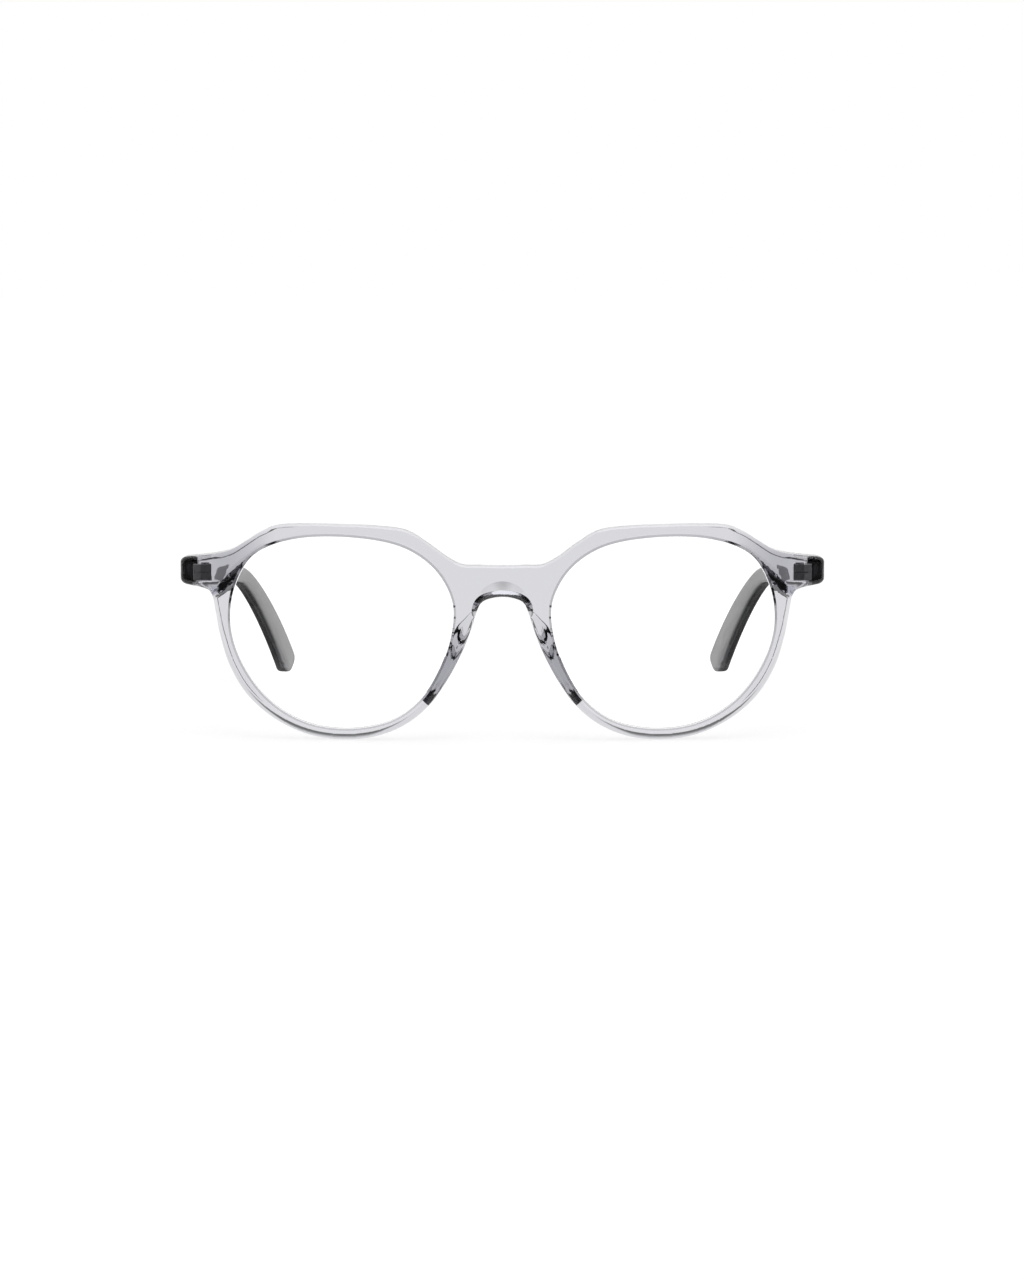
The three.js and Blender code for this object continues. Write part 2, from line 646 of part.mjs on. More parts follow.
// One side of the pair: what sits on the front, and the temple at its hinge
function side(label) {
  const group = new THREE.Group();
  group.add(piece("lens_" + label, lensGeometry(0, LENS_WIDTH / 4), lensGlass));
  group.add(piece("nose_pad_" + label, padGeometry(), acetate));
  const hinge = new THREE.Group();
  hinge.position.set(HINGE_X, JOINT_Y, HINGE_Z);
  hinge.add(piece("hinge_front_leaf_" + label, frontLeafGeometry(), hingeMetal));
  hinge.add(piece("hinge_screw_" + label, screwGeometry(), hingeMetal));
  hinge.add(piece("hinge_temple_leaf_" + label, templeLeafGeometry(), hingeMetal));
  hinge.add(piece("temple_" + label, templeGeometry(), acetate));
  hinge.add(piece("core_wire_" + label, coreGeometry(0, CORE_START), coreMetal));
  group.add(hinge);
  return group;
}

const left = side("left");
const right = side("right");
right.scale.x = -1;

const glasses = new THREE.Group();
glasses.add(piece("frame_front", frontGeometry(), acetate));
glasses.add(left);
glasses.add(right);

// The middle of the depth goes to the origin
const extent = new THREE.Box3().setFromObject(glasses, true);
glasses.position.set(0, -(extent.min.y + extent.max.y) / 2, -extent.min.z);

export default glasses;
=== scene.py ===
import json
import math

import bmesh
import bpy
import numpy as np
from mathutils import Matrix, Vector


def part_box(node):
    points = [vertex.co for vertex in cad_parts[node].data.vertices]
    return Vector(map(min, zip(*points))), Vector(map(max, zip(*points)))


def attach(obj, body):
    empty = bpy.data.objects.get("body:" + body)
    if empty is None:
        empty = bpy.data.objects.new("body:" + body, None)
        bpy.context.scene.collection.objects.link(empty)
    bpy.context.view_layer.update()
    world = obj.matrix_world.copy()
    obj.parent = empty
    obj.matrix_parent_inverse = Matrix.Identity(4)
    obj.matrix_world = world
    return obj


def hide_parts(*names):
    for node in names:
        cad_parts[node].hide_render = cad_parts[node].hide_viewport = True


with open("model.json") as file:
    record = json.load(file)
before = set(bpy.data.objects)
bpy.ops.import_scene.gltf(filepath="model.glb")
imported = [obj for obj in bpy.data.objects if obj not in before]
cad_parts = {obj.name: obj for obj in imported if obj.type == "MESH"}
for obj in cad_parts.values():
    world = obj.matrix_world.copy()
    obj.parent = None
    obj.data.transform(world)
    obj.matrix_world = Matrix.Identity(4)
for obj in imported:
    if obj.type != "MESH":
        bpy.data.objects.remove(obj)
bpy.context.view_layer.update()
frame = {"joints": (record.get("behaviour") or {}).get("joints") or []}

# The front
# One sheet of clear grey acetate, cut to the outline, rounded along its edges in the drum, and bent.
# Its openings are grooved for the lenses, and each end piece is built up behind to take a hinge.
MM = 0.001
FRONT_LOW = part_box("frame_front")[0]
HINGE = {joint["name"]: Vector(joint["pos_m"]) for joint in frame["joints"]}["fold_left"]
SHEET = 4 * MM
BEND_RADIUS = 320 * MM
LENS_HALF_WIDTH = 25 * MM
LENS_HALF_HEIGHT = 21.55 * MM
LENS_THICKNESS = 1.6 * MM
LENS_RADIUS = 120 * MM
GROOVE_DEPTH = 0.5 * MM
GROOVE_HALF = 0.9 * MM
GROOVE_OVERRUN = 0.3 * MM
CREST_HALF = 0.2 * MM
RIM_WIDTH = 2.4 * MM
RIM_HALF_WIDTH = LENS_HALF_WIDTH - GROOVE_DEPTH + RIM_WIDTH
RIM_HALF_HEIGHT = LENS_HALF_HEIGHT - GROOVE_DEPTH + RIM_WIDTH
BRIDGE_HALF_WIDTH = 10 * MM
BRIDGE_DEPTH = 6.8 * MM
LENS_X = LENS_HALF_WIDTH + BRIDGE_HALF_WIDTH
LENS_Z = RIM_HALF_HEIGHT
ARCH_Z = LENS_Z + 8 * MM
SIDE_X = LENS_X + RIM_HALF_WIDTH
END_REACH = 8.7 * MM
END_HEIGHT = 5.5 * MM
END_Z = LENS_Z + 13.4 * MM
END_RAMP = 3.4 * MM
END_SWELL = 14 * MM
END_SLANT = 0.95
FRONT_ROUND = (1.2 * MM, 1.1 * MM)
BACK_ROUND = (1.1 * MM, 1.1 * MM)
LOW_ROUND_SHARE = 1.4
QUARTER_TURN = np.linspace(0, math.pi / 2, 12)
EASED_EDGE = 0.15 * MM
EASED_TURN = np.radians(np.linspace(0, 80, 5))
OUTLINE_STEP = 0.35 * MM
BEND_STEP = 1 * MM
SWELL_STEP = 0.5 * MM
SWELL_CUTS_X = (60 * MM, 70 * MM)
SWELL_CUTS_Z = (30.5 * MM, 42.5 * MM)
OVERRUN = 1 * MM
SAME_PLACE = 1e-7

LENS_SHARES = [
    (1.0, 0.052), (0.958, 0.478), (0.772, 0.813), (0.408, 0.973),
    (-0.07, 0.993), (-0.518, 0.902), (-0.82, 0.674), (-0.981, 0.341),
    (-0.977, -0.011), (-0.873, -0.37), (-0.698, -0.689), (-0.431, -0.913),
    (-0.052, -0.998), (0.334, -0.933), (0.658, -0.707), (0.891, -0.351),
]
BROW_SHARES = [
    (-0.848, 0.717), (-0.7, 0.841), (-0.518, 0.961), (-0.27, 0.998), (0.024, 1.01),
    (0.307, 1.013), (0.525, 0.998), (0.667, 0.932), (0.784, 0.848), (0.907, 0.765),
]
RIM_SHARES = [
    (1.036, 0.186), (0.999, -0.041), (0.921, -0.325), (0.775, -0.597), (0.554, -0.813),
    (0.281, -0.955), (-0.008, -1.0), (-0.285, -0.963), (-0.526, -0.845),
]
NOSE_SHARES = [(-0.714, -0.662), (-0.858, -0.427), (-0.97, -0.185), (-1.045, 0.029)]
BRIDGE_TOP_SHARES = [(0, 1), (0.506, 1.013), (0.877, 1.041)]
ARCH_SHARES = [(0.566, -0.516), (0.462, -0.199), (0.273, -0.057), (0, 0)]
END_TOP_SHARES = [(0.172, 0.634), (0.801, 0.534), (0.86, 0.52)]
END_LOW_SHARES = [(0.84, -0.583), (0.794, -0.597), (0.362, -0.745), (0.195, -1.01)]
END_CORNER_SHARES = [
    [(0.86, 0.52), (1.0, 0.49), (1.0, 0.31)],
    [(1.0, -0.345), (0.995, -0.54), (0.84, -0.583)],
]


def placed(shares, centre, half_size):
    """Points given as shares of a half size about a centre."""
    return np.array(shares, float) * half_size + centre


def rim_points(shares):
    return placed(shares, (LENS_X, LENS_Z), (RIM_HALF_WIDTH, RIM_HALF_HEIGHT))


def bridge_points(shares):
    return placed(shares, (0, ARCH_Z), (BRIDGE_HALF_WIDTH, BRIDGE_DEPTH))


def end_points(shares):
    return placed(shares, (SIDE_X, END_Z), (END_REACH, END_HEIGHT))


def travelled(line):
    """Length along a line at each of its points."""
    return np.r_[0, np.cumsum(np.linalg.norm(np.diff(line, axis=0), axis=1))]


def at_lengths(line, lengths):
    """Points of a line at the given lengths along it."""
    return np.stack([np.interp(lengths, travelled(line), line[:, i]) for i in range(line.shape[1])], axis=1)


def evenly(line, step):
    """The same line with its points a step apart."""
    whole = travelled(line)[-1]
    return at_lengths(line, np.linspace(0, whole, round(whole / step) + 1))


def smooth_line(points, closed=False, fine=24):
    """A smooth line through a few points."""
    points = np.asarray(points, float)
    padded = np.vstack([points[-1:], points, points[:2]] if closed else [points[:1], points, points[-1:]])
    t = (np.arange(fine) / fine)[:, None]
    runs = []
    for before, start, end, after in zip(padded, padded[1:], padded[2:], padded[3:]):
        out, back = (end - before) / 2, (after - start) / 2
        curl = 2 * start - 2 * end + out + back
        runs.append(curl * t**3 + (end - start - out - curl) * t**2 + out * t + start)
    return np.vstack(runs + [points[:1] if closed else points[-1:]])


def rounded_corner(start, corner, end):
    """A quarter turn between two sides, as round as they allow."""
    turn = QUARTER_TURN[:, None]
    return corner + (start - corner) * (1 - np.sin(turn)) + (end - corner) * (1 - np.cos(turn))


def front_outline():
    """The closed outline, from the middle of the bridge's top round the wearer's left side first."""
    top = np.vstack([bridge_points(BRIDGE_TOP_SHARES), rim_points(BROW_SHARES), end_points(END_TOP_SHARES)])
    low = np.vstack([
        end_points(END_LOW_SHARES), rim_points(RIM_SHARES + NOSE_SHARES), bridge_points(ARCH_SHARES)
    ])
    turned = (-1, 1)
    top = smooth_line(np.vstack([top[:0:-1] * turned, top]))
    low = smooth_line(np.vstack([low, low[-2::-1] * turned]))
    corners = [rounded_corner(*end_points(shares)) for shares in END_CORNER_SHARES]
    half = np.vstack([top[len(top) // 2:-1], *corners, low[1:len(low) // 2 + 1]])
    half = evenly(half, OUTLINE_STEP)
    half[0, 0] = half[-1, 0] = 0
    return np.vstack([half, half[-2:0:-1] * turned])


def grown(loop, growth):
    """A closed clockwise loop moved out square to itself."""
    way = np.roll(loop, -1, axis=0) - np.roll(loop, 1, axis=0)
    way /= np.linalg.norm(way, axis=1)[:, None]
    return loop + np.stack([-way[:, 1], way[:, 0]], axis=1) * growth


def ramp(distance, length):
    """0 before a ramp and 1 past it."""
    t = np.clip(distance / length, 0, 1)
    return t * t * (3 - 2 * t)


def bend(x):
    """How far back the bent sheet's front lies at x."""
    return FRONT_LOW.y + BEND_RADIUS - np.sqrt(BEND_RADIUS**2 - np.square(x))


def end_share(x, z):
    """0 on the sheet, and 1 on the end pieces, which swell at the back to take the hinges."""
    swollen = LENS_X + LENS_HALF_WIDTH - GROOVE_DEPTH + END_RAMP
    outward = ramp(abs(x) - swollen + END_SWELL, END_SWELL)
    foot = END_Z - END_HEIGHT / 2 - END_RAMP + END_SLANT * np.maximum(SIDE_X - abs(x), 0)
    return outward * ramp(z - foot, END_RAMP)


def back_face(x, z):
    """How far back the bent sheet's back lies."""
    back = bend(x) + SHEET
    return back + (HINGE.y - back) * end_share(x, z)


def bent_sheet(x, y, z):
    """Where a point of the flat sheet goes: the back edge is rounded, but square at the joints."""
    if y < SHEET / 2:
        return bend(x) + y
    square = ramp(abs(x) - LENS_X - LENS_HALF_WIDTH + GROOVE_DEPTH, END_RAMP)
    return back_face(x, z) - (SHEET - y) * (1 - square)


def lens_depth(x, z):
    """Depth of a lens's middle surface: a sphere laid along the bend at the lens centre."""
    slope = LENS_X / math.sqrt(BEND_RADIUS**2 - LENS_X**2)
    edge = (LENS_HALF_WIDTH + LENS_HALF_HEIGHT) / 2
    away = np.hypot(abs(x) - LENS_X, z - LENS_Z)
    bow = np.sqrt(LENS_RADIUS**2 - edge**2) - np.sqrt(LENS_RADIUS**2 - away**2)
    return bend(LENS_X) + SHEET / 2 + slope * (abs(x) - LENS_X) + bow


def in_depth(loop, depth):
    """A flat loop in XZ as points in space, at a depth or at depths by place."""
    y = depth(loop[:, 0], loop[:, 1]) if callable(depth) else np.full(len(loop), depth)
    return np.stack([loop[:, 0], y, loop[:, 1]], axis=1)


def stacked(rings):
    """A closed skin: the first ring is extruded to each next one, and both ends are filled."""
    body = bmesh.new()
    corners = [body.verts.new(point) for point in rings[0]]
    loop = [body.edges.new(pair) for pair in zip(corners, corners[1:] + corners[:1])]
    bmesh.ops.contextual_create(body, geom=loop)
    for ring in rings[1:]:
        made = set(bmesh.ops.extrude_edge_only(body, edges=loop)["geom"])
        corners = [
            next(edge.other_vert(v) for edge in v.link_edges if edge.other_vert(v) in made) for v in corners
        ]
        for corner, point in zip(corners, ring):
            corner.co = point
        loop = [body.edges.get(pair) for pair in zip(corners, corners[1:] + corners[:1])]
    bmesh.ops.contextual_create(body, geom=loop)
    bmesh.ops.recalc_face_normals(body, faces=body.faces)
    return body


def cut_across(body, places, direction):
    """Cuts every face along parallel planes, so that a flat face can bend."""
    direction = Vector(direction)
    for place in places:
        geometry = body.verts[:] + body.edges[:] + body.faces[:]
        bmesh.ops.bisect_plane(
            body, geom=geometry, dist=SAME_PLACE, plane_co=direction * place, plane_no=direction
        )


def block(low, high):
    """A box from its lowest to its highest corner."""
    body = bmesh.new()
    bmesh.ops.create_cube(body, size=1)
    low, high = Vector(low), Vector(high)
    bmesh.ops.scale(body, vec=high - low, verts=body.verts)
    bmesh.ops.translate(body, vec=(high + low) / 2, verts=body.verts)
    return body


def rounded_rings(outline, width, depth, low_share=1):
    """Rings that turn from the sheet's wall to its back face, rounder by a share low down on the rims."""
    size = np.interp(outline[:, 1], (LENS_Z, END_Z), (low_share, 1))
    return [
        in_depth(grown(outline, -width * (1 - cosine) * size[:, None]), SHEET - depth * (1 - sine) * size)
        for sine, cosine in zip(np.sin(QUARTER_TURN), np.cos(QUARTER_TURN))
    ]


def whole_steps(low, high, step):
    """Places from one to another, a step apart."""
    return np.arange(round(low / step), round(high / step) + 1) * step


def front_plate():
    """The sheet with its rounded edges, cut finely enough to bend, and bent."""
    outline = front_outline()
    front = [ring * (1, -1, 1) + (0, SHEET, 0) for ring in rounded_rings(outline, *FRONT_ROUND)]
    back = rounded_rings(outline, *BACK_ROUND, LOW_ROUND_SHARE)
    body = stacked(front[::-1] + [in_depth(outline, SHEET / 2)] + back)
    reach = SIDE_X + END_REACH
    cut_across(body, whole_steps(-reach, reach, BEND_STEP), (1, 0, 0))
    for side in (1, -1):
        cut_across(body, side * whole_steps(*SWELL_CUTS_X, SWELL_STEP), (1, 0, 0))
    cut_across(body, whole_steps(BEND_STEP, 2 * RIM_HALF_HEIGHT, BEND_STEP), (0, 0, 1))
    cut_across(body, whole_steps(*SWELL_CUTS_Z, SWELL_STEP), (0, 0, 1))
    for corner in body.verts:
        corner.co.y = bent_sheet(*corner.co)
    return body


def lens_loop():
    """The crest of a lens's bevel, clockwise from the front."""
    points = placed(LENS_SHARES, (LENS_X, LENS_Z), (LENS_HALF_WIDTH, LENS_HALF_HEIGHT))
    return evenly(smooth_line(points, closed=True), OUTLINE_STEP)[:0:-1]


LENS_LOOP = lens_loop()


def aperture_cutter():
    """A prism as wide as the opening, which flares where it leaves both faces."""
    front, back = [], []
    for sine, cosine in zip(np.sin(EASED_TURN), np.cos(EASED_TURN)):
        loop, depth = grown(LENS_LOOP, EASED_EDGE * (1 - cosine) - GROOVE_DEPTH), EASED_EDGE * (1 - sine)
        front.append(in_depth(loop, lambda x, z: bend(x) + depth))
        back.append(in_depth(loop, lambda x, z: back_face(x, z) - depth))
    flared = grown(LENS_LOOP, EASED_EDGE - GROOVE_DEPTH)
    front.append(in_depth(flared, FRONT_LOW.y - OVERRUN))
    back.append(in_depth(flared, HINGE.y + OVERRUN))
    return stacked(front[::-1] + back)


def along_lens(loop, offset):
    """A loop on a lens's middle surface, moved back by an offset."""
    return in_depth(loop, lambda x, z: lens_depth(x, z) + offset)


def groove_cutter():
    """The V-groove that the lens edge snaps into."""
    slope = (GROOVE_HALF - CREST_HALF) / GROOVE_DEPTH
    section = [(-GROOVE_DEPTH - GROOVE_OVERRUN, GROOVE_HALF + GROOVE_OVERRUN * slope), (0, CREST_HALF)]
    section = [(out, -half) for out, half in section] + [(out, half) for out, half in section[::-1]]
    return stacked([along_lens(grown(LENS_LOOP, out), depth) for out, depth in section])


SADDLE_RISE = 1.35 * MM
SADDLE_START = 1 * MM
SADDLE_SHELF = 2.7 * MM
SADDLE_FLANK_SHARE = 0.3
SADDLE_CORNER = 2.4 * MM
SCOOP_RADIUS = 5.8 * MM
SCOOP_RISE = 3.25 * MM
SCOOP_DEPTH = 1.6 * MM
SCOOP_EDGE = 0.25 * MM
SCOOP_FACETS = 120


def ways(line):
    """The direction of a line at each of its points."""
    way = np.gradient(line, axis=0)
    return way / np.linalg.norm(way, axis=1)[:, None]


def saddle_cutters():
    """Cut behind the arch: a slanted shelf that dies out down the flanks, and a shallow cone."""
    arch = np.vstack([rim_points(NOSE_SHARES[-1:]), bridge_points(ARCH_SHARES)])
    arch = evenly(smooth_line(np.vstack([arch, arch[-2::-1] * (-1, 1)])), OUTLINE_STEP)
    way = ways(arch)
    upward = np.stack([way[:, 1], -way[:, 0]], axis=1)
    width = np.interp(arch[:, 1], [arch[0, 1], ARCH_Z - SADDLE_CORNER], [SADDLE_FLANK_SHARE, 1])
    slope = SADDLE_RISE / (SADDLE_SHELF - SADDLE_START)
    back = SHEET + OVERRUN
    rings = []
    for depth, rise in ((0, -slope * SADDLE_START), (SADDLE_SHELF, SADDLE_RISE), (back, SADDLE_RISE)):
        shelf = arch + upward * (width * rise)[:, None]
        feet = shelf[[-1, 0]] * (1, 0) + (0, arch[0, 1] - OVERRUN)
        rings.append(in_depth(np.vstack([shelf, feet]), FRONT_LOW.y + depth))
    scoop = bmesh.new()
    reach = SCOOP_DEPTH + OVERRUN
    bmesh.ops.create_cone(
        scoop, cap_ends=True, segments=SCOOP_FACETS, radius1=0, radius2=SCOOP_RADIUS * reach / SCOOP_DEPTH,
        depth=reach, matrix=Matrix.Rotation(math.radians(-90), 4, "X"),
    )
    middle = (0, FRONT_LOW.y + back - reach / 2, ARCH_Z + SCOOP_RISE - SCOOP_RADIUS)
    bmesh.ops.translate(scoop, vec=middle, verts=scoop.verts)
    return [stacked(rings), scoop]


def keep_scoop_crisp(piece):
    """Marks the round edge of the scoop, which is too shallow to count as sharp."""
    centre = Vector((0, ARCH_Z + SCOOP_RISE - SCOOP_RADIUS))
    for edge in piece.data.edges:
        ends = [piece.data.vertices[index].co for index in edge.vertices]
        if all(abs((end.xz - centre).length - SCOOP_RADIUS) < SCOOP_EDGE for end in ends):
            edge.use_edge_sharp = True


KNUCKLE = 1.3 * MM
LEAF = 1 * MM
HINGE_HALF = 1.75 * MM
HINGE_REACH = 1.7 * MM
HEAD_HEIGHT = 0.6 * MM
HEAD_SUNK = 0.35 * MM
TAIL = 2.7 * MM
ROOT_WIDTH = 1.6 * MM
ROOT_DEPTH = 1.3 * MM
PLAY = 0.12 * MM


def hinge_pockets():
    """An open recess for the knuckles, a slot for the leaf and a pocket for its root."""
    half = HINGE_HALF + PLAY
    head = HINGE_HALF - HEAD_SUNK + HEAD_HEIGHT + PLAY
    leaf_back = -KNUCKLE - PLAY
    leaf_front = leaf_back - LEAF
    tail = TAIL + PLAY
    root = tail - ROOT_WIDTH - 2 * PLAY
    pockets = [
        block((-KNUCKLE - PLAY, leaf_front - PLAY, -head), (HINGE_REACH, OVERRUN, head)),
        block((0, leaf_front - PLAY, -half), (tail, leaf_back + PLAY, half)),
        block((root, leaf_front - ROOT_DEPTH - PLAY, -half), (tail, leaf_front, half)),
    ]
    for pocket in pockets:
        bmesh.ops.translate(pocket, vec=HINGE, verts=pocket.verts)
    return pockets


# Nose pads
# Two ridges of the same acetate, welded with solvent to the back of the nose flanks and polished over.
# Each starts thin at the arch, is highest where it rests on the nose, and drops steeply at its lower end.
PAD_HEIGHT = 4.8 * MM
PAD_WIDTH = 3.2 * MM
PAD_INSET = 0.03 * MM
PAD_REACH_SHARE = 0.795
PAD_LAG = 0.075
PAD_MIDDLE = 0.36
PAD_RINGS = 70
PAD_HEIGHT_SHARES = [0.05, 0.1, 0.2, 0.52, 0.66, 0.97, 1, 1, 0.97, 0.8, 0.45, 0.03]
PAD_WIDTH_SHARES = [0.3, 0.62, 0.92, 1, 1, 1, 1, 1, 1, 1, 1, 0.94]
PAD_SECTION_SHARES = [
    (0, 0), (0.02, 0.5), (0.07, 0.8), (0.18, 0.95), (0.36, 1),
    (0.66, 1), (0.86, 0.94), (0.96, 0.76), (1, 0.4), (1, 0),
]


def tapering(places, shares):
    """Shares read off a smooth line through their table, at places from 0 to 1."""
    table = np.linspace(0, 1, len(shares))
    return np.interp(places, *smooth_line(np.stack([table, shares], axis=1), fine=8).T)


def nose_pad():
    """A ridge along the flank. Its height follows later in the middle of its width than at its sides."""
    flank = [bridge_points(ARCH_SHARES[:1]), rim_points(NOSE_SHARES)[::-1], rim_points(RIM_SHARES[-1:])]
    flank = smooth_line(np.vstack(flank))
    length = travelled(flank)[-1] * PAD_REACH_SHARE
    places = np.linspace(0, 1, PAD_RINGS)
    heights = tapering(places, PAD_HEIGHT_SHARES) * PAD_HEIGHT
    widths = tapering(places, PAD_WIDTH_SHARES) * PAD_WIDTH
    section = smooth_line(PAD_SECTION_SHARES, fine=5)
    edge = at_lengths(flank, places * length)
    way = ways(edge)
    across = np.stack([-way[:, 1], way[:, 0]], axis=1)
    rings = []
    lag = PAD_LAG * np.clip(1 - abs(section[:, 0] / PAD_MIDDLE - 1), 0, 1)
    for start, side, place, width in zip(edge, across, places, widths):
        flat = start + side * (PAD_INSET + section[:, :1] * width)
        depth = bend(flat[:, 0]) + SHEET + section[:, 1] * np.interp(place - lag, places, heights)
        ridge = np.stack([flat[:, 0], depth, flat[:, 1]], axis=1)
        feet = ridge[[-1, 0]] - (0, SHEET / 2, 0)
        rings.append(np.vstack([ridge, feet]))
    return stacked(rings)


# The front put together
# The pads are welded on, and then the openings, saddle, grooves and hinge pockets are cut through both.
# The acetate is clear, holds a little grey dye, and comes out of the last drum glossy all over.
ACETATE_IOR = 1.49
ACETATE_DYE = (0.0, 0.0, 0.08, 1)
ACETATE_SHADOW = (0.72, 0.72, 0.73, 1)
ACETATE_WAVES = {"Wave Size": 260, "Wave Depth": 0.02}
FRONT_DENSITY = 134
WAVE_DETAIL = 1.5
HAIR_DETAIL = 3
HAIR_STRETCH = (900, 60, 4200)


def made_piece(name, body):
    """A new object from a finished bmesh, which is let go."""
    mesh = bpy.data.meshes.new(name)
    body.to_mesh(mesh)
    body.free()
    piece = bpy.data.objects.new(name, mesh)
    bpy.context.scene.collection.objects.link(piece)
    return piece


def combined(piece, operation, tools):
    """Cuts tools out of a piece or joins them to it, and leaves no modifier."""
    for tool in tools:
        other = made_piece(piece.name + "_tool", tool)
        modifier = piece.modifiers.new(operation.lower(), "BOOLEAN")
        modifier.operation = operation
        modifier.solver = "MANIFOLD"
        modifier.object = other
        bpy.context.view_layer.update()
        result = bpy.data.meshes.new_from_object(piece.evaluated_get(bpy.context.evaluated_depsgraph_get()))
        piece.modifiers.clear()
        old, piece.data = piece.data, result
        result.name = piece.name
        bpy.data.meshes.remove(old)
        mesh = other.data
        bpy.data.objects.remove(other)
        bpy.data.meshes.remove(mesh)


def smooth_faces(piece, angle=35):
    """Smooth shading with edges sharper than an angle kept crisp, and flat faces kept flat."""
    piece.data.shade_smooth()
    piece.data.set_sharp_from_angle(angle=math.radians(angle))
    flat = piece.modifiers.new("flat faces", "WEIGHTED_NORMAL")
    flat.keep_sharp = True


def mirrored(body):
    """A copy for the other side of the middle plane."""
    other = body.copy()
    bmesh.ops.scale(other, vec=(-1, 1, 1), verts=other.verts)
    bmesh.ops.reverse_faces(other, faces=other.faces)
    return other


def both_sides(body):
    """A body and its copy on the other side."""
    return [body, mirrored(body)]


def new_material(name):
    """A node material, with the nodes that every finish starts from."""
    material = bpy.data.materials.new(name)
    material.use_nodes = True
    nodes = material.node_tree.nodes
    return material, nodes, material.node_tree.links, nodes["Principled BSDF"], nodes["Material Output"]


def unevenness_group():
    """Slow waves from the polishing drum and fine hairlines, as a roughness and a bumped normal."""
    group = bpy.data.node_groups.new("polished surface", "ShaderNodeTree")
    inputs = (("Wave Size", 180.0), ("Wave Depth", 0.01), ("Hairlines", 0.1), ("Roughness", 0.03))
    for name, value in inputs:
        socket = group.interface.new_socket(name=name, in_out="INPUT", socket_type="NodeSocketFloat")
        socket.default_value = value
    group.interface.new_socket(name="Roughness", in_out="OUTPUT", socket_type="NodeSocketFloat")
    group.interface.new_socket(name="Normal", in_out="OUTPUT", socket_type="NodeSocketVector")
    nodes, links = group.nodes, group.links
    given, put = nodes.new("NodeGroupInput"), nodes.new("NodeGroupOutput")
    place = nodes.new("ShaderNodeTexCoord")
    wave = nodes.new("ShaderNodeTexNoise")
    hair = nodes.new("ShaderNodeTexNoise")
    stretch = nodes.new("ShaderNodeMapping")
    stretch.inputs["Scale"].default_value = HAIR_STRETCH
    hair.inputs["Scale"].default_value = 1
    hair.inputs["Detail"].default_value = HAIR_DETAIL
    wave.inputs["Detail"].default_value = WAVE_DETAIL
    bump = nodes.new("ShaderNodeBump")
    bump.inputs["Distance"].default_value = MM
    rough = nodes.new("ShaderNodeMath")
    rough.operation = "MULTIPLY_ADD"
    links.new(place.outputs["Object"], wave.inputs["Vector"])
    links.new(given.outputs["Wave Size"], wave.inputs["Scale"])
    links.new(place.outputs["Object"], stretch.inputs["Vector"])
    links.new(stretch.outputs["Vector"], hair.inputs["Vector"])
    links.new(hair.outputs["Fac"], rough.inputs[0])
    links.new(given.outputs["Hairlines"], rough.inputs[1])
    links.new(given.outputs["Roughness"], rough.inputs[2])
    links.new(wave.outputs["Fac"], bump.inputs["Height"])
    links.new(given.outputs["Wave Depth"], bump.inputs["Strength"])
    links.new(rough.outputs["Value"], put.inputs["Roughness"])
    links.new(bump.outputs["Normal"], put.inputs["Normal"])
    return group


POLISHED = unevenness_group()


def polish(nodes, links, shader, finish):
    """Gives a shader the polished surface, with a finish of its own."""
    surface = nodes.new("ShaderNodeGroup")
    surface.node_tree = POLISHED
    for name, value in finish.items():
        surface.inputs[name].default_value = value
    links.new(surface.outputs["Roughness"], shader.inputs["Roughness"])
    links.new(surface.outputs["Normal"], shader.inputs["Normal"])


def clear_to_shadows(nodes, links, surface, output, tint):
    """Light passes on to the floor, a little dimmed, instead of stopping at the clear plastic."""
    path = nodes.new("ShaderNodeLightPath")
    through = nodes.new("ShaderNodeBsdfTransparent")
    through.inputs["Color"].default_value = tint
    mix = nodes.new("ShaderNodeMixShader")
    links.new(path.outputs["Is Shadow Ray"], mix.inputs["Fac"])
    links.new(surface, mix.inputs[1])
    links.new(through.outputs["BSDF"], mix.inputs[2])
    links.new(mix.outputs["Shader"], output.inputs["Surface"])


def clear_plastic(name, ior, finish):
    """A new material that is clear all through."""
    material, nodes, links, shader, output = new_material(name)
    shader.inputs["Base Color"].default_value = (1, 1, 1, 1)
    shader.inputs["Transmission Weight"].default_value = 1
    shader.inputs["IOR"].default_value = ior
    polish(nodes, links, shader, finish)
    return material, nodes, links, shader, output


def dyed(nodes, links, output, density):
    """The grey dye in the acetate, which darkens it with depth."""
    dye = nodes.new("ShaderNodeVolumeAbsorption")
    dye.inputs["Color"].default_value = ACETATE_DYE
    dye.inputs["Density"].default_value = density
    links.new(dye.outputs["Volume"], output.inputs["Volume"])


def acetate():
    """Glossy and clear, with a grey body and a faint unevenness from the drum."""
    finish = {**ACETATE_WAVES, "Hairlines": 0, "Roughness": 0}
    material, nodes, links, shader, output = clear_plastic("clear grey acetate", ACETATE_IOR, finish)
    clear_to_shadows(nodes, links, shader.outputs["BSDF"], output, ACETATE_SHADOW)
    dyed(nodes, links, output, FRONT_DENSITY)
    return material


def fitted(piece, body, slot, material, *nodes):
    """Gives a piece its material and the body that it moves with, and hides the parts that it stands for.
    """
    piece.data.materials.clear()
    piece.data.materials.append(material)
    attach(piece, body)
    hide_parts(*nodes)


front = made_piece("front", front_plate())
combined(front, "UNION", both_sides(nose_pad()))
cutters = both_sides(aperture_cutter()) + saddle_cutters() + both_sides(groove_cutter())
combined(front, "DIFFERENCE", cutters)
for pocket in hinge_pockets():
    combined(front, "DIFFERENCE", both_sides(pocket))
smooth_faces(front)
keep_scoop_crisp(front)
fitted(front, "front", "clear_acetate", acetate(), "frame_front", "nose_pad_left", "nose_pad_right")


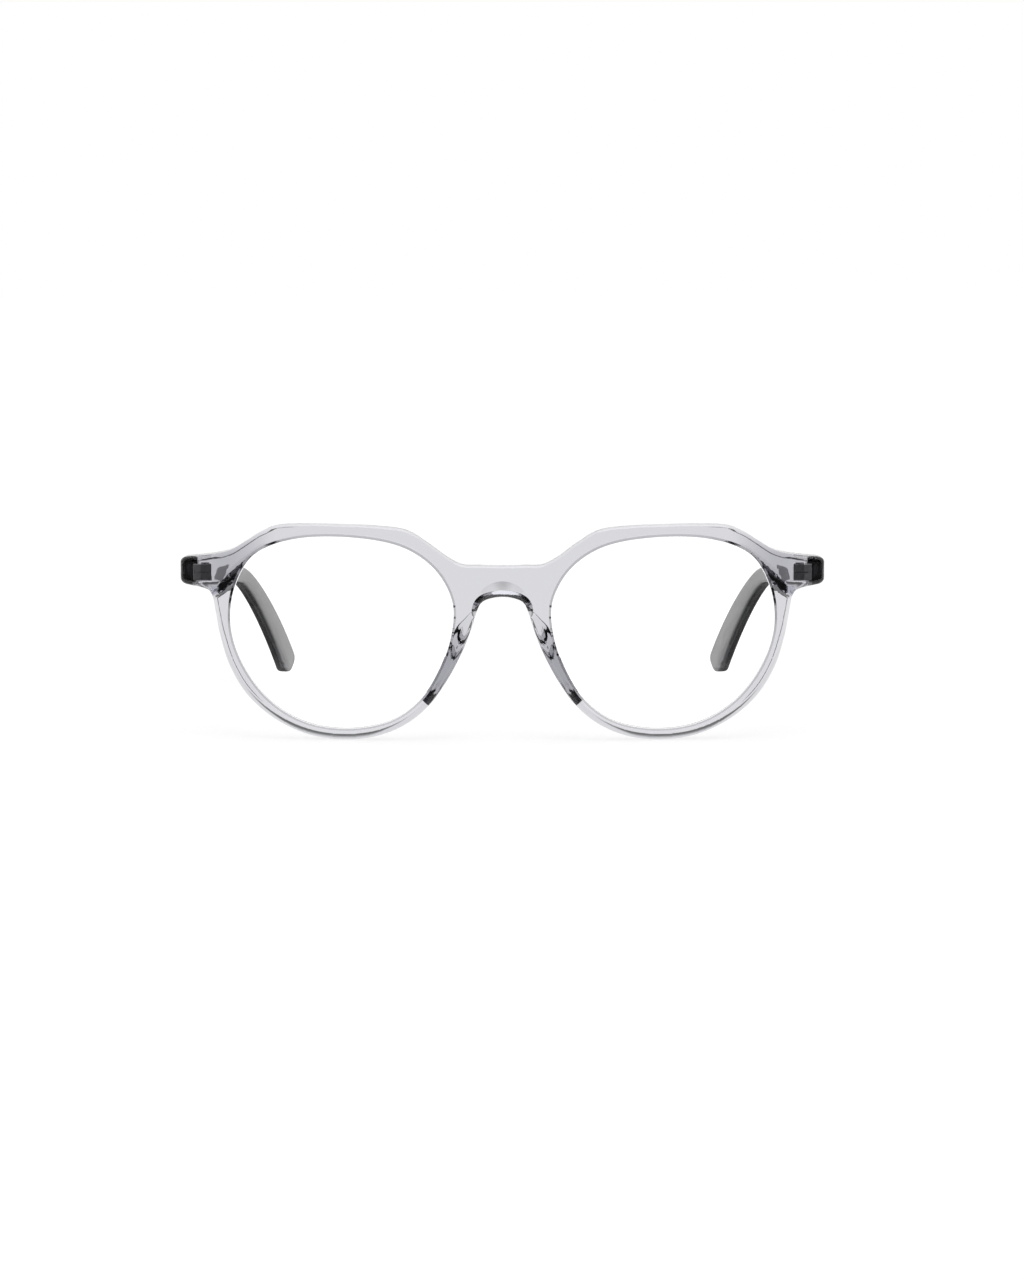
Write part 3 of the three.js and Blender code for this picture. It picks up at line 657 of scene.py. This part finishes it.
# Lenses
# Clear plastic plates of even thickness, cast to a sphere and edged to the shape of the openings.
# The bevel round each one snaps into the groove of its rim.
LENS_CLEARANCE = 0.1 * MM
LENS_RINGS = 16
LENS_MIDDLE_SHARE = 0.001
LENS_IOR = 1.5
LENS_SHADOW = (0.94, 0.94, 0.94, 1)
LENS_FINISH = {"Wave Size": 60, "Wave Depth": 0.002, "Hairlines": 0, "Roughness": 0}


def lens_plate():
    """Rings from near the middle of the back face, over the bevel, to near the middle of the front face."""
    edge = LENS_CLEARANCE + GROOVE_DEPTH
    half = LENS_THICKNESS / 2
    crest = CREST_HALF - LENS_CLEARANCE
    centre = np.array([LENS_X, LENS_Z])
    face = grown(LENS_LOOP, -edge)
    areas = np.linspace(LENS_MIDDLE_SHARE, 1, LENS_RINGS)
    section = [(centre + (face - centre) * math.sqrt(area), half) for area in areas]
    section.append((grown(LENS_LOOP, -LENS_CLEARANCE), crest))
    section = [(loop, -depth) for loop, depth in section] + section[::-1]
    return stacked([along_lens(loop, depth) for loop, depth in section])


def lens_plastic():
    """Colourless and clear, with hardly a wave in it."""
    material, nodes, links, shader, output = clear_plastic("clear lens", LENS_IOR, LENS_FINISH)
    clear_to_shadows(nodes, links, shader.outputs["BSDF"], output, LENS_SHADOW)
    return material


LENS_PLASTIC = lens_plastic()
for side, body in zip(("left", "right"), both_sides(lens_plate())):
    lens = made_piece("lens_" + side + "_clear", body)
    smooth_faces(lens)
    fitted(lens, "front", "lens", LENS_PLASTIC, "lens_" + side)


# Temples
# Bars of the same acetate, slim along the shaft and widening to a paddle that bends down behind the ear.
# The front end is sawn square to butt on the end piece, and holds the hinge leaf in its inner face.
TEMPLE_HALF = 2 * MM
SHAFT_LENGTH = 88 * MM
EAR_LENGTH = 55 * MM
SHAFT_HEIGHT = 3.8 * MM
EAR_HEIGHT = 6.2 * MM
TIP_CORNER = 2.2 * MM
TIP_EDGE = 0.8 * MM
SHAFT_DROP = math.radians(5.6)
SHAFT_TOE = math.radians(2.7)
EAR_DROP = math.radians(50)
EAR_TOE = math.radians(11.4)
TIP_TOE = math.radians(18)
TEMPLE_LENGTH = SHAFT_LENGTH + EAR_LENGTH
JOINT_GAP = 0.15 * MM
HINGE_DROP = 0.65 * MM
SLIM_SHARE = 0.6
EAR_CHORD_SHARE = 0.985
EAR_HANDLE_SHARE = 0.33
EAR_POINTS = 240
BAR_RINGS = 110
BAR_CORNERS = 48
AHEAD = 0.5 * MM
EDGE_TURNS = np.radians((0, 30, 60, 90))
TIP_TURNS = np.radians(np.arange(10, 91, 10))
LEAF_PROUD = 0.3 * MM
LEAF_INSIDE = HINGE_REACH - LEAF_PROUD
LEAF_HALF = 1.6 * MM
LEAF_LENGTH = 7.5 * MM
MIDDLE_HALF = 0.55 * MM
TEMPLE_FINISH = {**ACETATE_WAVES, "Hairlines": 0.02, "Roughness": 0.05}
TEMPLE_DENSITY = 170
# Painted shade on the temples: a diffuse grey, dark outwards and lighter inwards, mixed in where the bar is
# seen at a slant.
PAINTED_SHADE_WIDTH = 0.85
PAINTED_SHADE_END = 0.9
PAINTED_SHADE_LEVELS = (0.45, 0.02)
PAINTED_SHADE_SLANT = (0.12, 0.4)
PAINTED_SHADE_SHARE = 0.9


def heading(drop, toe):
    """The direction of a bar that drops and toes in by these angles on its way back."""
    return np.array([-math.sin(toe) * math.cos(drop), math.cos(toe) * math.cos(drop), -math.sin(drop)])


def temple_line():
    """The middle line: a straight shaft, then one even bend to the tip, which rests on the floor."""
    start = np.array(HINGE) + np.array([HINGE_REACH + TEMPLE_HALF, JOINT_GAP, HINGE_DROP])
    ahead = heading(SHAFT_DROP, SHAFT_TOE)
    knee = start + ahead * SHAFT_LENGTH
    tip_z = (EAR_HEIGHT / 2 - TIP_CORNER) * math.cos(EAR_DROP) + TIP_CORNER * (1 - math.sin(EAR_DROP))
    fall = knee[2] - tip_z
    run = math.sqrt((EAR_LENGTH * EAR_CHORD_SHARE) ** 2 - fall**2)
    tip = knee + np.array([-math.sin(EAR_TOE) * run, math.cos(EAR_TOE) * run, -fall])
    handle = EAR_LENGTH * EAR_HANDLE_SHARE
    t = np.linspace(0, 1, EAR_POINTS)[:, None]
    out, back = knee + ahead * handle, tip - heading(EAR_DROP, TIP_TOE) * handle
    ear = (1 - t) ** 3 * knee + 3 * t * (1 - t) ** 2 * out + 3 * t**2 * (1 - t) * back + t**3 * tip
    return np.vstack([start, ear])


TEMPLE_LINE = temple_line()
TEMPLE_WHOLE = travelled(TEMPLE_LINE)[-1]


def temple_height(distance):
    """The bar slims down along the shaft, and widens again along the ear end."""
    slim = END_HEIGHT + (SHAFT_HEIGHT - END_HEIGHT) * ramp(distance, SHAFT_LENGTH * SLIM_SHARE)
    return slim + (EAR_HEIGHT - slim) * ramp(distance - SHAFT_LENGTH, EAR_LENGTH)


def temple_section(distance, half_width, half_height, corners=BAR_CORNERS):
    """One ring round the temple's line, square to it except at the joint, with rounded corners."""
    place = np.clip(distance / TEMPLE_LENGTH, 0, 1) * TEMPLE_WHOLE
    near = at_lengths(TEMPLE_LINE, [place, max(place - AHEAD, 0), min(place + AHEAD, TEMPLE_WHOLE)])
    along = Vector(near[2] - near[1]).normalized()
    along = Vector((0, 1, 0)).lerp(along, ramp(distance, 2 * TEMPLE_HALF)).normalized()
    side = along.cross(Vector((0, 0, 1))).normalized()
    up = side.cross(along)
    turn = (np.arange(corners) + 0.5) / corners * 2 * math.pi
    x, z = np.cos(turn), np.sin(turn)
    x, z = np.sign(x) * np.sqrt(abs(x)) * half_width, np.sign(z) * np.sqrt(abs(z)) * half_height
    return near[0] + x[:, None] * np.array(side) + z[:, None] * np.array(up)


def temple_bar():
    """The bar from its eased front end to its rounded tip."""
    rings = []
    for turn in EDGE_TURNS:
        distance, inset = EASED_EDGE * (1 - math.cos(turn)), EASED_EDGE * (1 - math.sin(turn))
        rings.append(temple_section(distance, TEMPLE_HALF - inset, END_HEIGHT / 2 - inset))
    for distance in np.linspace(0, TEMPLE_LENGTH - TIP_CORNER, BAR_RINGS)[1:]:
        rings.append(temple_section(distance, TEMPLE_HALF, temple_height(distance) / 2))
    for turn in TIP_TURNS:
        inward = 1 - math.cos(turn)
        distance = TEMPLE_LENGTH - TIP_CORNER * (1 - math.sin(turn))
        half_height = EAR_HEIGHT / 2 - TIP_CORNER * inward
        rings.append(temple_section(distance, TEMPLE_HALF - TIP_EDGE * inward, half_height))
    return stacked(rings)


def along_temple(body):
    """Turns a piece from straight back to the shaft's own direction, about the hinge, and puts it there."""
    turn = Matrix.Rotation(SHAFT_TOE, 3, "Z") @ Matrix.Rotation(-SHAFT_DROP, 3, "X")
    bmesh.ops.rotate(body, matrix=turn, verts=body.verts)
    bmesh.ops.translate(body, vec=HINGE, verts=body.verts)
    return body


def leaf_plate(play):
    """The plate in the temple's inner face, or with some play the pocket for it."""
    half = LEAF_HALF + play
    start = KNUCKLE + PLAY - play
    end = KNUCKLE + PLAY + LEAF_LENGTH + play
    return along_temple(block((LEAF_INSIDE - play, start, -half), (LEAF_INSIDE + LEAF + play, end, half)))


def arm_pocket():
    """The way for the arm from the knuckle to the plate."""
    half = MIDDLE_HALF + PLAY
    pocket = block((0, -OVERRUN, -half), (HINGE_REACH + LEAF, 2 * KNUCKLE + 2 * PLAY, half))
    bmesh.ops.translate(pocket, vec=HINGE, verts=pocket.verts)
    return pocket


def mark_painted_shade(piece):
    """Notes how much painted shade the bar gets: more and more outwards, but not on its flat outer side."""
    painted_shade = piece.data.attributes.new("painted_shade", "FLOAT", "POINT")
    for note, corner in zip(painted_shade.data, piece.data.vertices):
        middle = np.interp(corner.co.y, TEMPLE_LINE[:, 1], TEMPLE_LINE[:, 0])
        side = (abs(corner.co.x) - middle) / TEMPLE_HALF
        note.value = ramp(side + 1, PAINTED_SHADE_WIDTH) * (1 - ramp(side - PAINTED_SHADE_END, 1 - PAINTED_SHADE_END))


def mirror_piece(piece, name):
    """The same piece for the right side."""
    body = bmesh.new()
    body.from_mesh(piece.data)
    other = made_piece(name, mirrored(body))
    body.free()
    return other


def stepped(nodes, links, value, start, end, low, high):
    """A value that goes from one level to another between two places."""
    step = nodes.new("ShaderNodeMapRange")
    step.interpolation_type = "SMOOTHSTEP"
    for name, setting in (("From Min", start), ("From Max", end), ("To Min", low), ("To Max", high)):
        step.inputs[name].default_value = setting
    links.new(value, step.inputs["Value"])
    return step.outputs["Result"]


def temple_acetate():
    """The same acetate, with a painted shade mixed in where the bar is seen at a slant, darkest towards the
    outer edge.
    """
    material, nodes, links, shader, output = clear_plastic("grey acetate with painted shade", ACETATE_IOR, TEMPLE_FINISH)
    noted = nodes.new("ShaderNodeAttribute")
    noted.attribute_name = "painted_shade"
    # A diffuse grey painted on as shade, darker towards the outer side, mixed in by how slanted the bar is
    # seen.
    painted_shade = nodes.new("ShaderNodeBsdfDiffuse")
    grey = stepped(nodes, links, noted.outputs["Fac"], 0, 1, *PAINTED_SHADE_LEVELS)
    links.new(grey, painted_shade.inputs["Color"])
    slant = nodes.new("ShaderNodeLayerWeight")
    slant.inputs["Blend"].default_value = 0.5
    mix = nodes.new("ShaderNodeMixShader")
    share = stepped(nodes, links, slant.outputs["Facing"], *PAINTED_SHADE_SLANT, 0, PAINTED_SHADE_SHARE)
    links.new(share, mix.inputs["Fac"])
    links.new(shader.outputs["BSDF"], mix.inputs[1])
    links.new(painted_shade.outputs["BSDF"], mix.inputs[2])
    clear_to_shadows(nodes, links, mix.outputs["Shader"], output, ACETATE_SHADOW)
    dyed(nodes, links, output, TEMPLE_DENSITY)
    return material


TEMPLE_ACETATE = temple_acetate()
left_bar = made_piece("temple_left_bar", temple_bar())
combined(left_bar, "DIFFERENCE", [leaf_plate(PLAY), arm_pocket()])
for side, bar in (("left", left_bar), ("right", mirror_piece(left_bar, "temple_right_bar"))):
    mark_painted_shade(bar)
    smooth_faces(bar)
    fitted(bar, side + "_temple", "clear_acetate", TEMPLE_ACETATE, "temple_" + side)


# Core wires
# Flat metal wires that are shot into the warm temples, so that the ear ends can be bent to fit.
# Each starts just behind the joint and tapers towards the ear.
CORE_START = 1.5 * MM
CORE_END_SHARE = 0.8
CORE_HALF_WIDTH = 0.45 * MM
CORE_HALF_HEIGHT = 1.1 * MM
CORE_TIP_SHARE = 0.6
CORE_RINGS = 90
CORE_CORNERS = 16
METAL_WAVES = {"Wave Size": 2400, "Wave Depth": 0.06, "Hairlines": 0.2}


def core_wire():
    """A flat wire along the temple's middle line."""
    end = SHAFT_LENGTH + EAR_LENGTH * CORE_END_SHARE
    places = zip(np.linspace(CORE_START, end, CORE_RINGS), np.linspace(1, CORE_TIP_SHARE, CORE_RINGS))
    return stacked([
        temple_section(distance, CORE_HALF_WIDTH, CORE_HALF_HEIGHT * taper, CORE_CORNERS)
        for distance, taper in places
    ])


def metal(name, colour, roughness):
    """Bare metal with fine scratches."""
    material, nodes, links, shader, output = new_material(name)
    shader.inputs["Base Color"].default_value = (*colour, 1)
    shader.inputs["Metallic"].default_value = 1
    polish(nodes, links, shader, {**METAL_WAVES, "Roughness": roughness})
    return material


WIRE = metal("core wire", colour=(0.3, 0.3, 0.31), roughness=0.3)
left_core = made_piece("core_left_wire", core_wire())
for side, wire in (("left", left_core), ("right", mirror_piece(left_core, "core_right_wire"))):
    smooth_faces(wire)
    fitted(wire, side + "_temple", "core_metal", WIRE, "core_wire_" + side)


# Hinges
# Three nickel-silver knuckles turn on a steel screw, two on the front leaf and one on the temple's leaf.
# The front leaf is sunk hot into the end piece, where two scores across its face show through the acetate.
SCREW_RADIUS = 0.5 * MM
SCREW_PLAY = 0.07 * MM
HEAD_RADIUS = 0.95 * MM
SCREW_SLOT_HALF = 0.15 * MM
SCREW_SLOT_DEPTH = 0.25 * MM
KNUCKLE_PLAY = 0.05 * MM
SCORE_HALF = 0.2 * MM
SCORE_DEPTH = 0.4 * MM
DRUM_FACETS = 64
FLAT_WITHIN = math.radians(1)
SHARP_FROM = math.radians(30)
TUMBLED = 0.06 * MM
ON_FRONT = {"left": "front", "right": "front"}
ON_TEMPLES = {"left": "left_temple", "right": "right_temple"}


def drum(radius, bottom, top):
    """An upright cylinder about the hinge's axis."""
    body = bmesh.new()
    bmesh.ops.create_cone(
        body, cap_ends=True, segments=DRUM_FACETS, radius1=radius, radius2=radius, depth=top - bottom,
        matrix=Matrix.Translation((0, 0, (top + bottom) / 2)),
    )
    return body


def tumbled(piece):
    """Softens the sharp edges of a small metal piece."""
    body = bmesh.new()
    body.from_mesh(piece.data)
    bmesh.ops.remove_doubles(body, verts=body.verts, dist=SAME_PLACE)
    bmesh.ops.dissolve_limit(body, angle_limit=FLAT_WITHIN, verts=body.verts, edges=body.edges)
    sharp = [edge for edge in body.edges if edge.is_manifold and edge.calc_face_angle() > SHARP_FROM]
    bmesh.ops.bevel(
        body, geom=sharp, affect="EDGES", offset=TUMBLED, segments=2, profile=0.5, material=-1,
        clamp_overlap=True,
    )
    body.to_mesh(piece.data)
    body.free()


def front_leaf():
    """The plate and its root, the upper and lower knuckle, the scores, and the holes for screw and head."""
    leaf_back = -KNUCKLE - PLAY
    leaf_front = leaf_back - LEAF
    plate = block((-KNUCKLE, leaf_front, -HINGE_HALF), (TAIL, leaf_back, HINGE_HALF))
    leaf = made_piece("hinge_front_left", plate)
    root_start = TAIL - ROOT_WIDTH
    root_front = leaf_front - ROOT_DEPTH
    joined = [block((root_start, root_front, -HINGE_HALF), (TAIL, leaf_front + LEAF / 2, HINGE_HALF))]
    slot = MIDDLE_HALF + KNUCKLE_PLAY
    for bottom, top in ((-HINGE_HALF, -slot), (slot, HINGE_HALF)):
        web = block((-KNUCKLE, leaf_back - LEAF / 2, bottom), (KNUCKLE, 0, top))
        joined += [drum(KNUCKLE, bottom, top), web]
    combined(leaf, "UNION", joined)
    for start, end, face in (
        (-KNUCKLE - OVERRUN, root_start, leaf_front), (root_start - OVERRUN, TAIL + OVERRUN, root_front),
    ):
        score = block((start, face - OVERRUN, -SCORE_HALF), (end, face + SCORE_DEPTH, SCORE_HALF))
        combined(leaf, "DIFFERENCE", [score])
    sink = HINGE_HALF - HEAD_SUNK - SCREW_PLAY
    bore = drum(SCREW_RADIUS + SCREW_PLAY, -HINGE_HALF - OVERRUN, HINGE_HALF + OVERRUN)
    combined(leaf, "DIFFERENCE", [bore, drum(HEAD_RADIUS + SCREW_PLAY, sink, HINGE_HALF + OVERRUN)])
    return leaf


def hinge_screw():
    """A cheese head with a slot, on a plain shank."""
    seat = HINGE_HALF - HEAD_SUNK
    top = seat + HEAD_HEIGHT
    screw = made_piece("screw_left", drum(HEAD_RADIUS, seat, top))
    combined(screw, "UNION", [drum(SCREW_RADIUS, -HINGE_HALF, seat + HEAD_HEIGHT / 4)])
    slot = block(
        (-OVERRUN, -SCREW_SLOT_HALF, top - SCREW_SLOT_DEPTH), (OVERRUN, SCREW_SLOT_HALF, top + OVERRUN)
    )
    combined(screw, "DIFFERENCE", [slot])
    return screw


def temple_leaf():
    """The middle knuckle, the arm that cranks outwards from it, and the plate."""
    body = bmesh.new()
    plate_middle = LEAF_INSIDE + LEAF / 2
    far = 2 * KNUCKLE + PLAY
    plan = [
        (0, 0), (KNUCKLE, 0), (plate_middle, KNUCKLE), (plate_middle, far), (LEAF_INSIDE - LEAF_PROUD, far),
        (-KNUCKLE / 2, KNUCKLE / 2),
    ]
    bmesh.ops.contextual_create(body, geom=[body.verts.new((x, y, -MIDDLE_HALF)) for x, y in plan])
    made = bmesh.ops.extrude_face_region(body, geom=body.faces[:])["geom"]
    top = [g for g in made if isinstance(g, bmesh.types.BMVert)]
    bmesh.ops.translate(body, vec=(0, 0, 2 * MIDDLE_HALF), verts=top)
    bmesh.ops.recalc_face_normals(body, faces=body.faces)
    leaf = made_piece("hinge_temple_left", drum(KNUCKLE, -MIDDLE_HALF, MIDDLE_HALF))
    plate = leaf_plate(0)
    bmesh.ops.translate(plate, vec=-HINGE, verts=plate.verts)
    combined(leaf, "UNION", [body, plate])
    combined(leaf, "DIFFERENCE", [drum(SCREW_RADIUS + SCREW_PLAY, -OVERRUN * 2, OVERRUN * 2)])
    return leaf


NICKEL_SILVER = metal("nickel silver", colour=(0.5, 0.5, 0.51), roughness=0.45)
SCREW_STEEL = metal("screw steel", colour=(0.34, 0.34, 0.35), roughness=0.22)
for piece, node, bodies, slot, material in (
    (front_leaf(), "hinge_front_leaf_", ON_FRONT, "hinge_metal", NICKEL_SILVER),
    (hinge_screw(), "hinge_screw_", ON_FRONT, "screw_steel", SCREW_STEEL),
    (temple_leaf(), "hinge_temple_leaf_", ON_TEMPLES, "hinge_metal", NICKEL_SILVER),
):
    tumbled(piece)
    piece.data.transform(Matrix.Translation(HINGE))
    other = mirror_piece(piece, piece.name.replace("left", "right"))
    for side, copy in (("left", piece), ("right", other)):
        smooth_faces(copy, angle=30)
        fitted(copy, bodies[side], slot, material, node + side)


# The studio
# A white sweep in soft, even light. The room in front is dark, and so is a gap above the backdrop: both
# show only where clear pieces mirror or bend them. The camera stands in front, a little above the object.
CAMERA_DISTANCE = 0.8
CAMERA_HEIGHT = 0.1
AIM_HEIGHT = 0.02225
FOCAL_LENGTH = 104.06
SIDE_SHIFT = 0.0075
ROOM_FADE = (-0.6, -0.2)
ROOM_DARK = 0.02
DIFFUSE_LEVEL = 0.75
ROOM_WHITE = 1
WHITE_THROUGH = 1.14
LIGHT_PLACE = (0.1, -0.2, 1.2)
LIGHT_SIZE = 0.9
LIGHT_POWER = 4
FLOOR_HALF = 20
FLOOR_GREY = 0.8
FLOOR_SEEN = (0.665, 0.76)
FLOOR_FAR = (0.25, 1.2)
FLOOR_SHADES = (0.14, 0.38)
FLOOR_THROUGH = 1.14
FLOOR_MIRRORED = 0.9
FLOOR_FRONT = 0.03
FLOOR_FRONT_EDGE = (-0.17, -0.09)
GAP_LOW = (0.035, 0.08)
GAP_HIGH = (0.15, 0.5)
GAP_SIDE = (0.11, 0.18)
GAP_DARK = 0.2


def maths(nodes, links, operation, *values):
    """A sum of sockets and numbers."""
    node = nodes.new("ShaderNodeMath")
    node.operation = operation
    for socket, value in zip(node.inputs, values):
        if isinstance(value, bpy.types.NodeSocket):
            links.new(value, socket)
        else:
            socket.default_value = value
    return node.outputs["Value"]


def seen_by_eye(nodes, links, path):
    """1 for rays that the camera sends, straight or through and off the object, and 0 for light itself."""
    outside = maths(nodes, links, "MAXIMUM", path.outputs["Is Camera Ray"], path.outputs["Is Glossy Ray"])
    return maths(nodes, links, "MAXIMUM", outside, path.outputs["Is Transmission Ray"])


def fade(nodes, links, value, start, end):
    """0 before the start, 1 past the end, or the other way round."""
    low, high = (0, 1) if start < end else (1, 0)
    return stepped(nodes, links, value, min(start, end), max(start, end), low, high)


def mirror_turned(nodes, links, path):
    """1 for rays with a mirror turn on their way, outside or inside a clear piece."""
    return maths(nodes, links, "GREATER_THAN", path.outputs["Glossy Depth"], 0.5)


def blended(nodes, links, share, none, full):
    """A level between two others."""
    level = nodes.new("ShaderNodeMix")
    level.data_type = "FLOAT"
    for name, value in (("Factor", share), ("A", none), ("B", full)):
        if isinstance(value, bpy.types.NodeSocket):
            links.new(value, level.inputs[name])
        else:
            level.inputs[name].default_value = value
    return level.outputs["Result"]


def floor_glow(nodes, links, path):
    """White to the eye out to the horizon. Clear pieces mirror it dark in front of the object."""
    glow = nodes.new("ShaderNodeEmission")
    place = nodes.new("ShaderNodeTexCoord")
    split = nodes.new("ShaderNodeSeparateXYZ")
    away = nodes.new("ShaderNodeVectorMath")
    away.operation = "LENGTH"
    links.new(place.outputs["Object"], split.inputs["Vector"])
    links.new(place.outputs["Object"], away.inputs[0])
    straight = stepped(nodes, links, away.outputs["Value"], *FLOOR_FAR, *FLOOR_SEEN)
    level = blended(nodes, links, path.outputs["Is Camera Ray"], FLOOR_THROUGH, straight)
    behind = fade(nodes, links, split.outputs["Y"], *FLOOR_FRONT_EDGE)
    mirrored_level = blended(nodes, links, behind, FLOOR_FRONT, FLOOR_MIRRORED)
    strength = blended(nodes, links, mirror_turned(nodes, links, path), level, mirrored_level)
    links.new(strength, glow.inputs["Strength"])
    return glow.outputs["Emission"]


def sweep():
    """The floor, which keeps the object's shadow in a thin grey over its glow."""
    body = bmesh.new()
    bmesh.ops.create_grid(body, x_segments=1, y_segments=1, size=FLOOR_HALF)
    floor = made_piece("floor", body)
    material, nodes, links, shader, output = new_material("floor")
    shader.inputs["Base Color"].default_value = (FLOOR_GREY, FLOOR_GREY, FLOOR_GREY, 1)
    shader.inputs["Roughness"].default_value = 1
    shader.inputs["Specular IOR Level"].default_value = 0
    path = nodes.new("ShaderNodeLightPath")
    shade = nodes.new("ShaderNodeBsdfDiffuse")
    links.new(blended(nodes, links, path.outputs["Is Camera Ray"], *FLOOR_SHADES), shade.inputs["Color"])
    seen = nodes.new("ShaderNodeAddShader")
    mix = nodes.new("ShaderNodeMixShader")
    links.new(seen_by_eye(nodes, links, path), mix.inputs["Fac"])
    links.new(floor_glow(nodes, links, path), seen.inputs[0])
    links.new(shade.outputs["BSDF"], seen.inputs[1])
    links.new(shader.outputs["BSDF"], mix.inputs[1])
    links.new(seen.outputs["Shader"], mix.inputs[2])
    links.new(mix.outputs["Shader"], output.inputs["Surface"])
    floor.data.materials.append(material)


def dark_gap(nodes, links, split):
    """The dark studio between the top of the white backdrop and the light above."""
    side = maths(nodes, links, "ABSOLUTE", split.outputs["X"])
    parts = [
        fade(nodes, links, split.outputs["Z"], *GAP_LOW),
        fade(nodes, links, split.outputs["Z"], GAP_HIGH[1], GAP_HIGH[0]),
        fade(nodes, links, side, GAP_SIDE[1], GAP_SIDE[0]),
    ]
    return maths(nodes, links, "MULTIPLY", maths(nodes, links, "MULTIPLY", *parts[:2]), parts[2])


def surroundings():
    """White behind all that the camera sees through. Mirrored rays also meet the dark room in front."""
    world = bpy.data.worlds.new("studio")
    bpy.context.scene.world = world
    world.use_nodes = True
    nodes, links = world.node_tree.nodes, world.node_tree.links
    path = nodes.new("ShaderNodeLightPath")
    place = nodes.new("ShaderNodeTexCoord")
    split = nodes.new("ShaderNodeSeparateXYZ")
    links.new(place.outputs["Generated"], split.inputs["Vector"])
    room = blended(nodes, links, fade(nodes, links, split.outputs["Y"], *ROOM_FADE), ROOM_DARK, ROOM_WHITE)
    backdrop = blended(nodes, links, dark_gap(nodes, links, split), WHITE_THROUGH, GAP_DARK)
    seen = blended(nodes, links, mirror_turned(nodes, links, path), backdrop, room)
    seen = blended(nodes, links, path.outputs["Is Camera Ray"], seen, 1)
    level = blended(nodes, links, seen_by_eye(nodes, links, path), DIFFUSE_LEVEL, seen)
    links.new(level, nodes["Background"].inputs["Strength"])
    nodes["Background"].inputs["Color"].default_value = (1, 1, 1, 1)


def softbox():
    """One large lamp above, a little in front, aimed at the origin."""
    light = bpy.data.lights.new("top light", "AREA")
    light.shape = "SQUARE"
    light.size = LIGHT_SIZE
    light.energy = LIGHT_POWER
    lamp = bpy.data.objects.new("top light", light)
    lamp.location = LIGHT_PLACE
    lamp.rotation_euler = (-Vector(LIGHT_PLACE)).to_track_quat("-Z", "Y").to_euler()
    bpy.context.scene.collection.objects.link(lamp)


def camera():
    """The camera, framed as the photograph is."""
    lens = bpy.data.cameras.new("camera")
    lens.lens = FOCAL_LENGTH
    lens.shift_x = SIDE_SHIFT
    holder = bpy.data.objects.new("camera", lens)
    front_y = FRONT_LOW.y
    holder.location = (0, front_y - CAMERA_DISTANCE, CAMERA_HEIGHT)
    aim = Vector((0, front_y, AIM_HEIGHT)) - holder.location
    holder.rotation_euler = aim.to_track_quat("-Z", "Y").to_euler()
    bpy.context.scene.collection.objects.link(holder)
    bpy.context.scene.camera = holder


sweep()
surroundings()
softbox()
camera()
bpy.context.scene.view_settings.view_transform = "Standard"
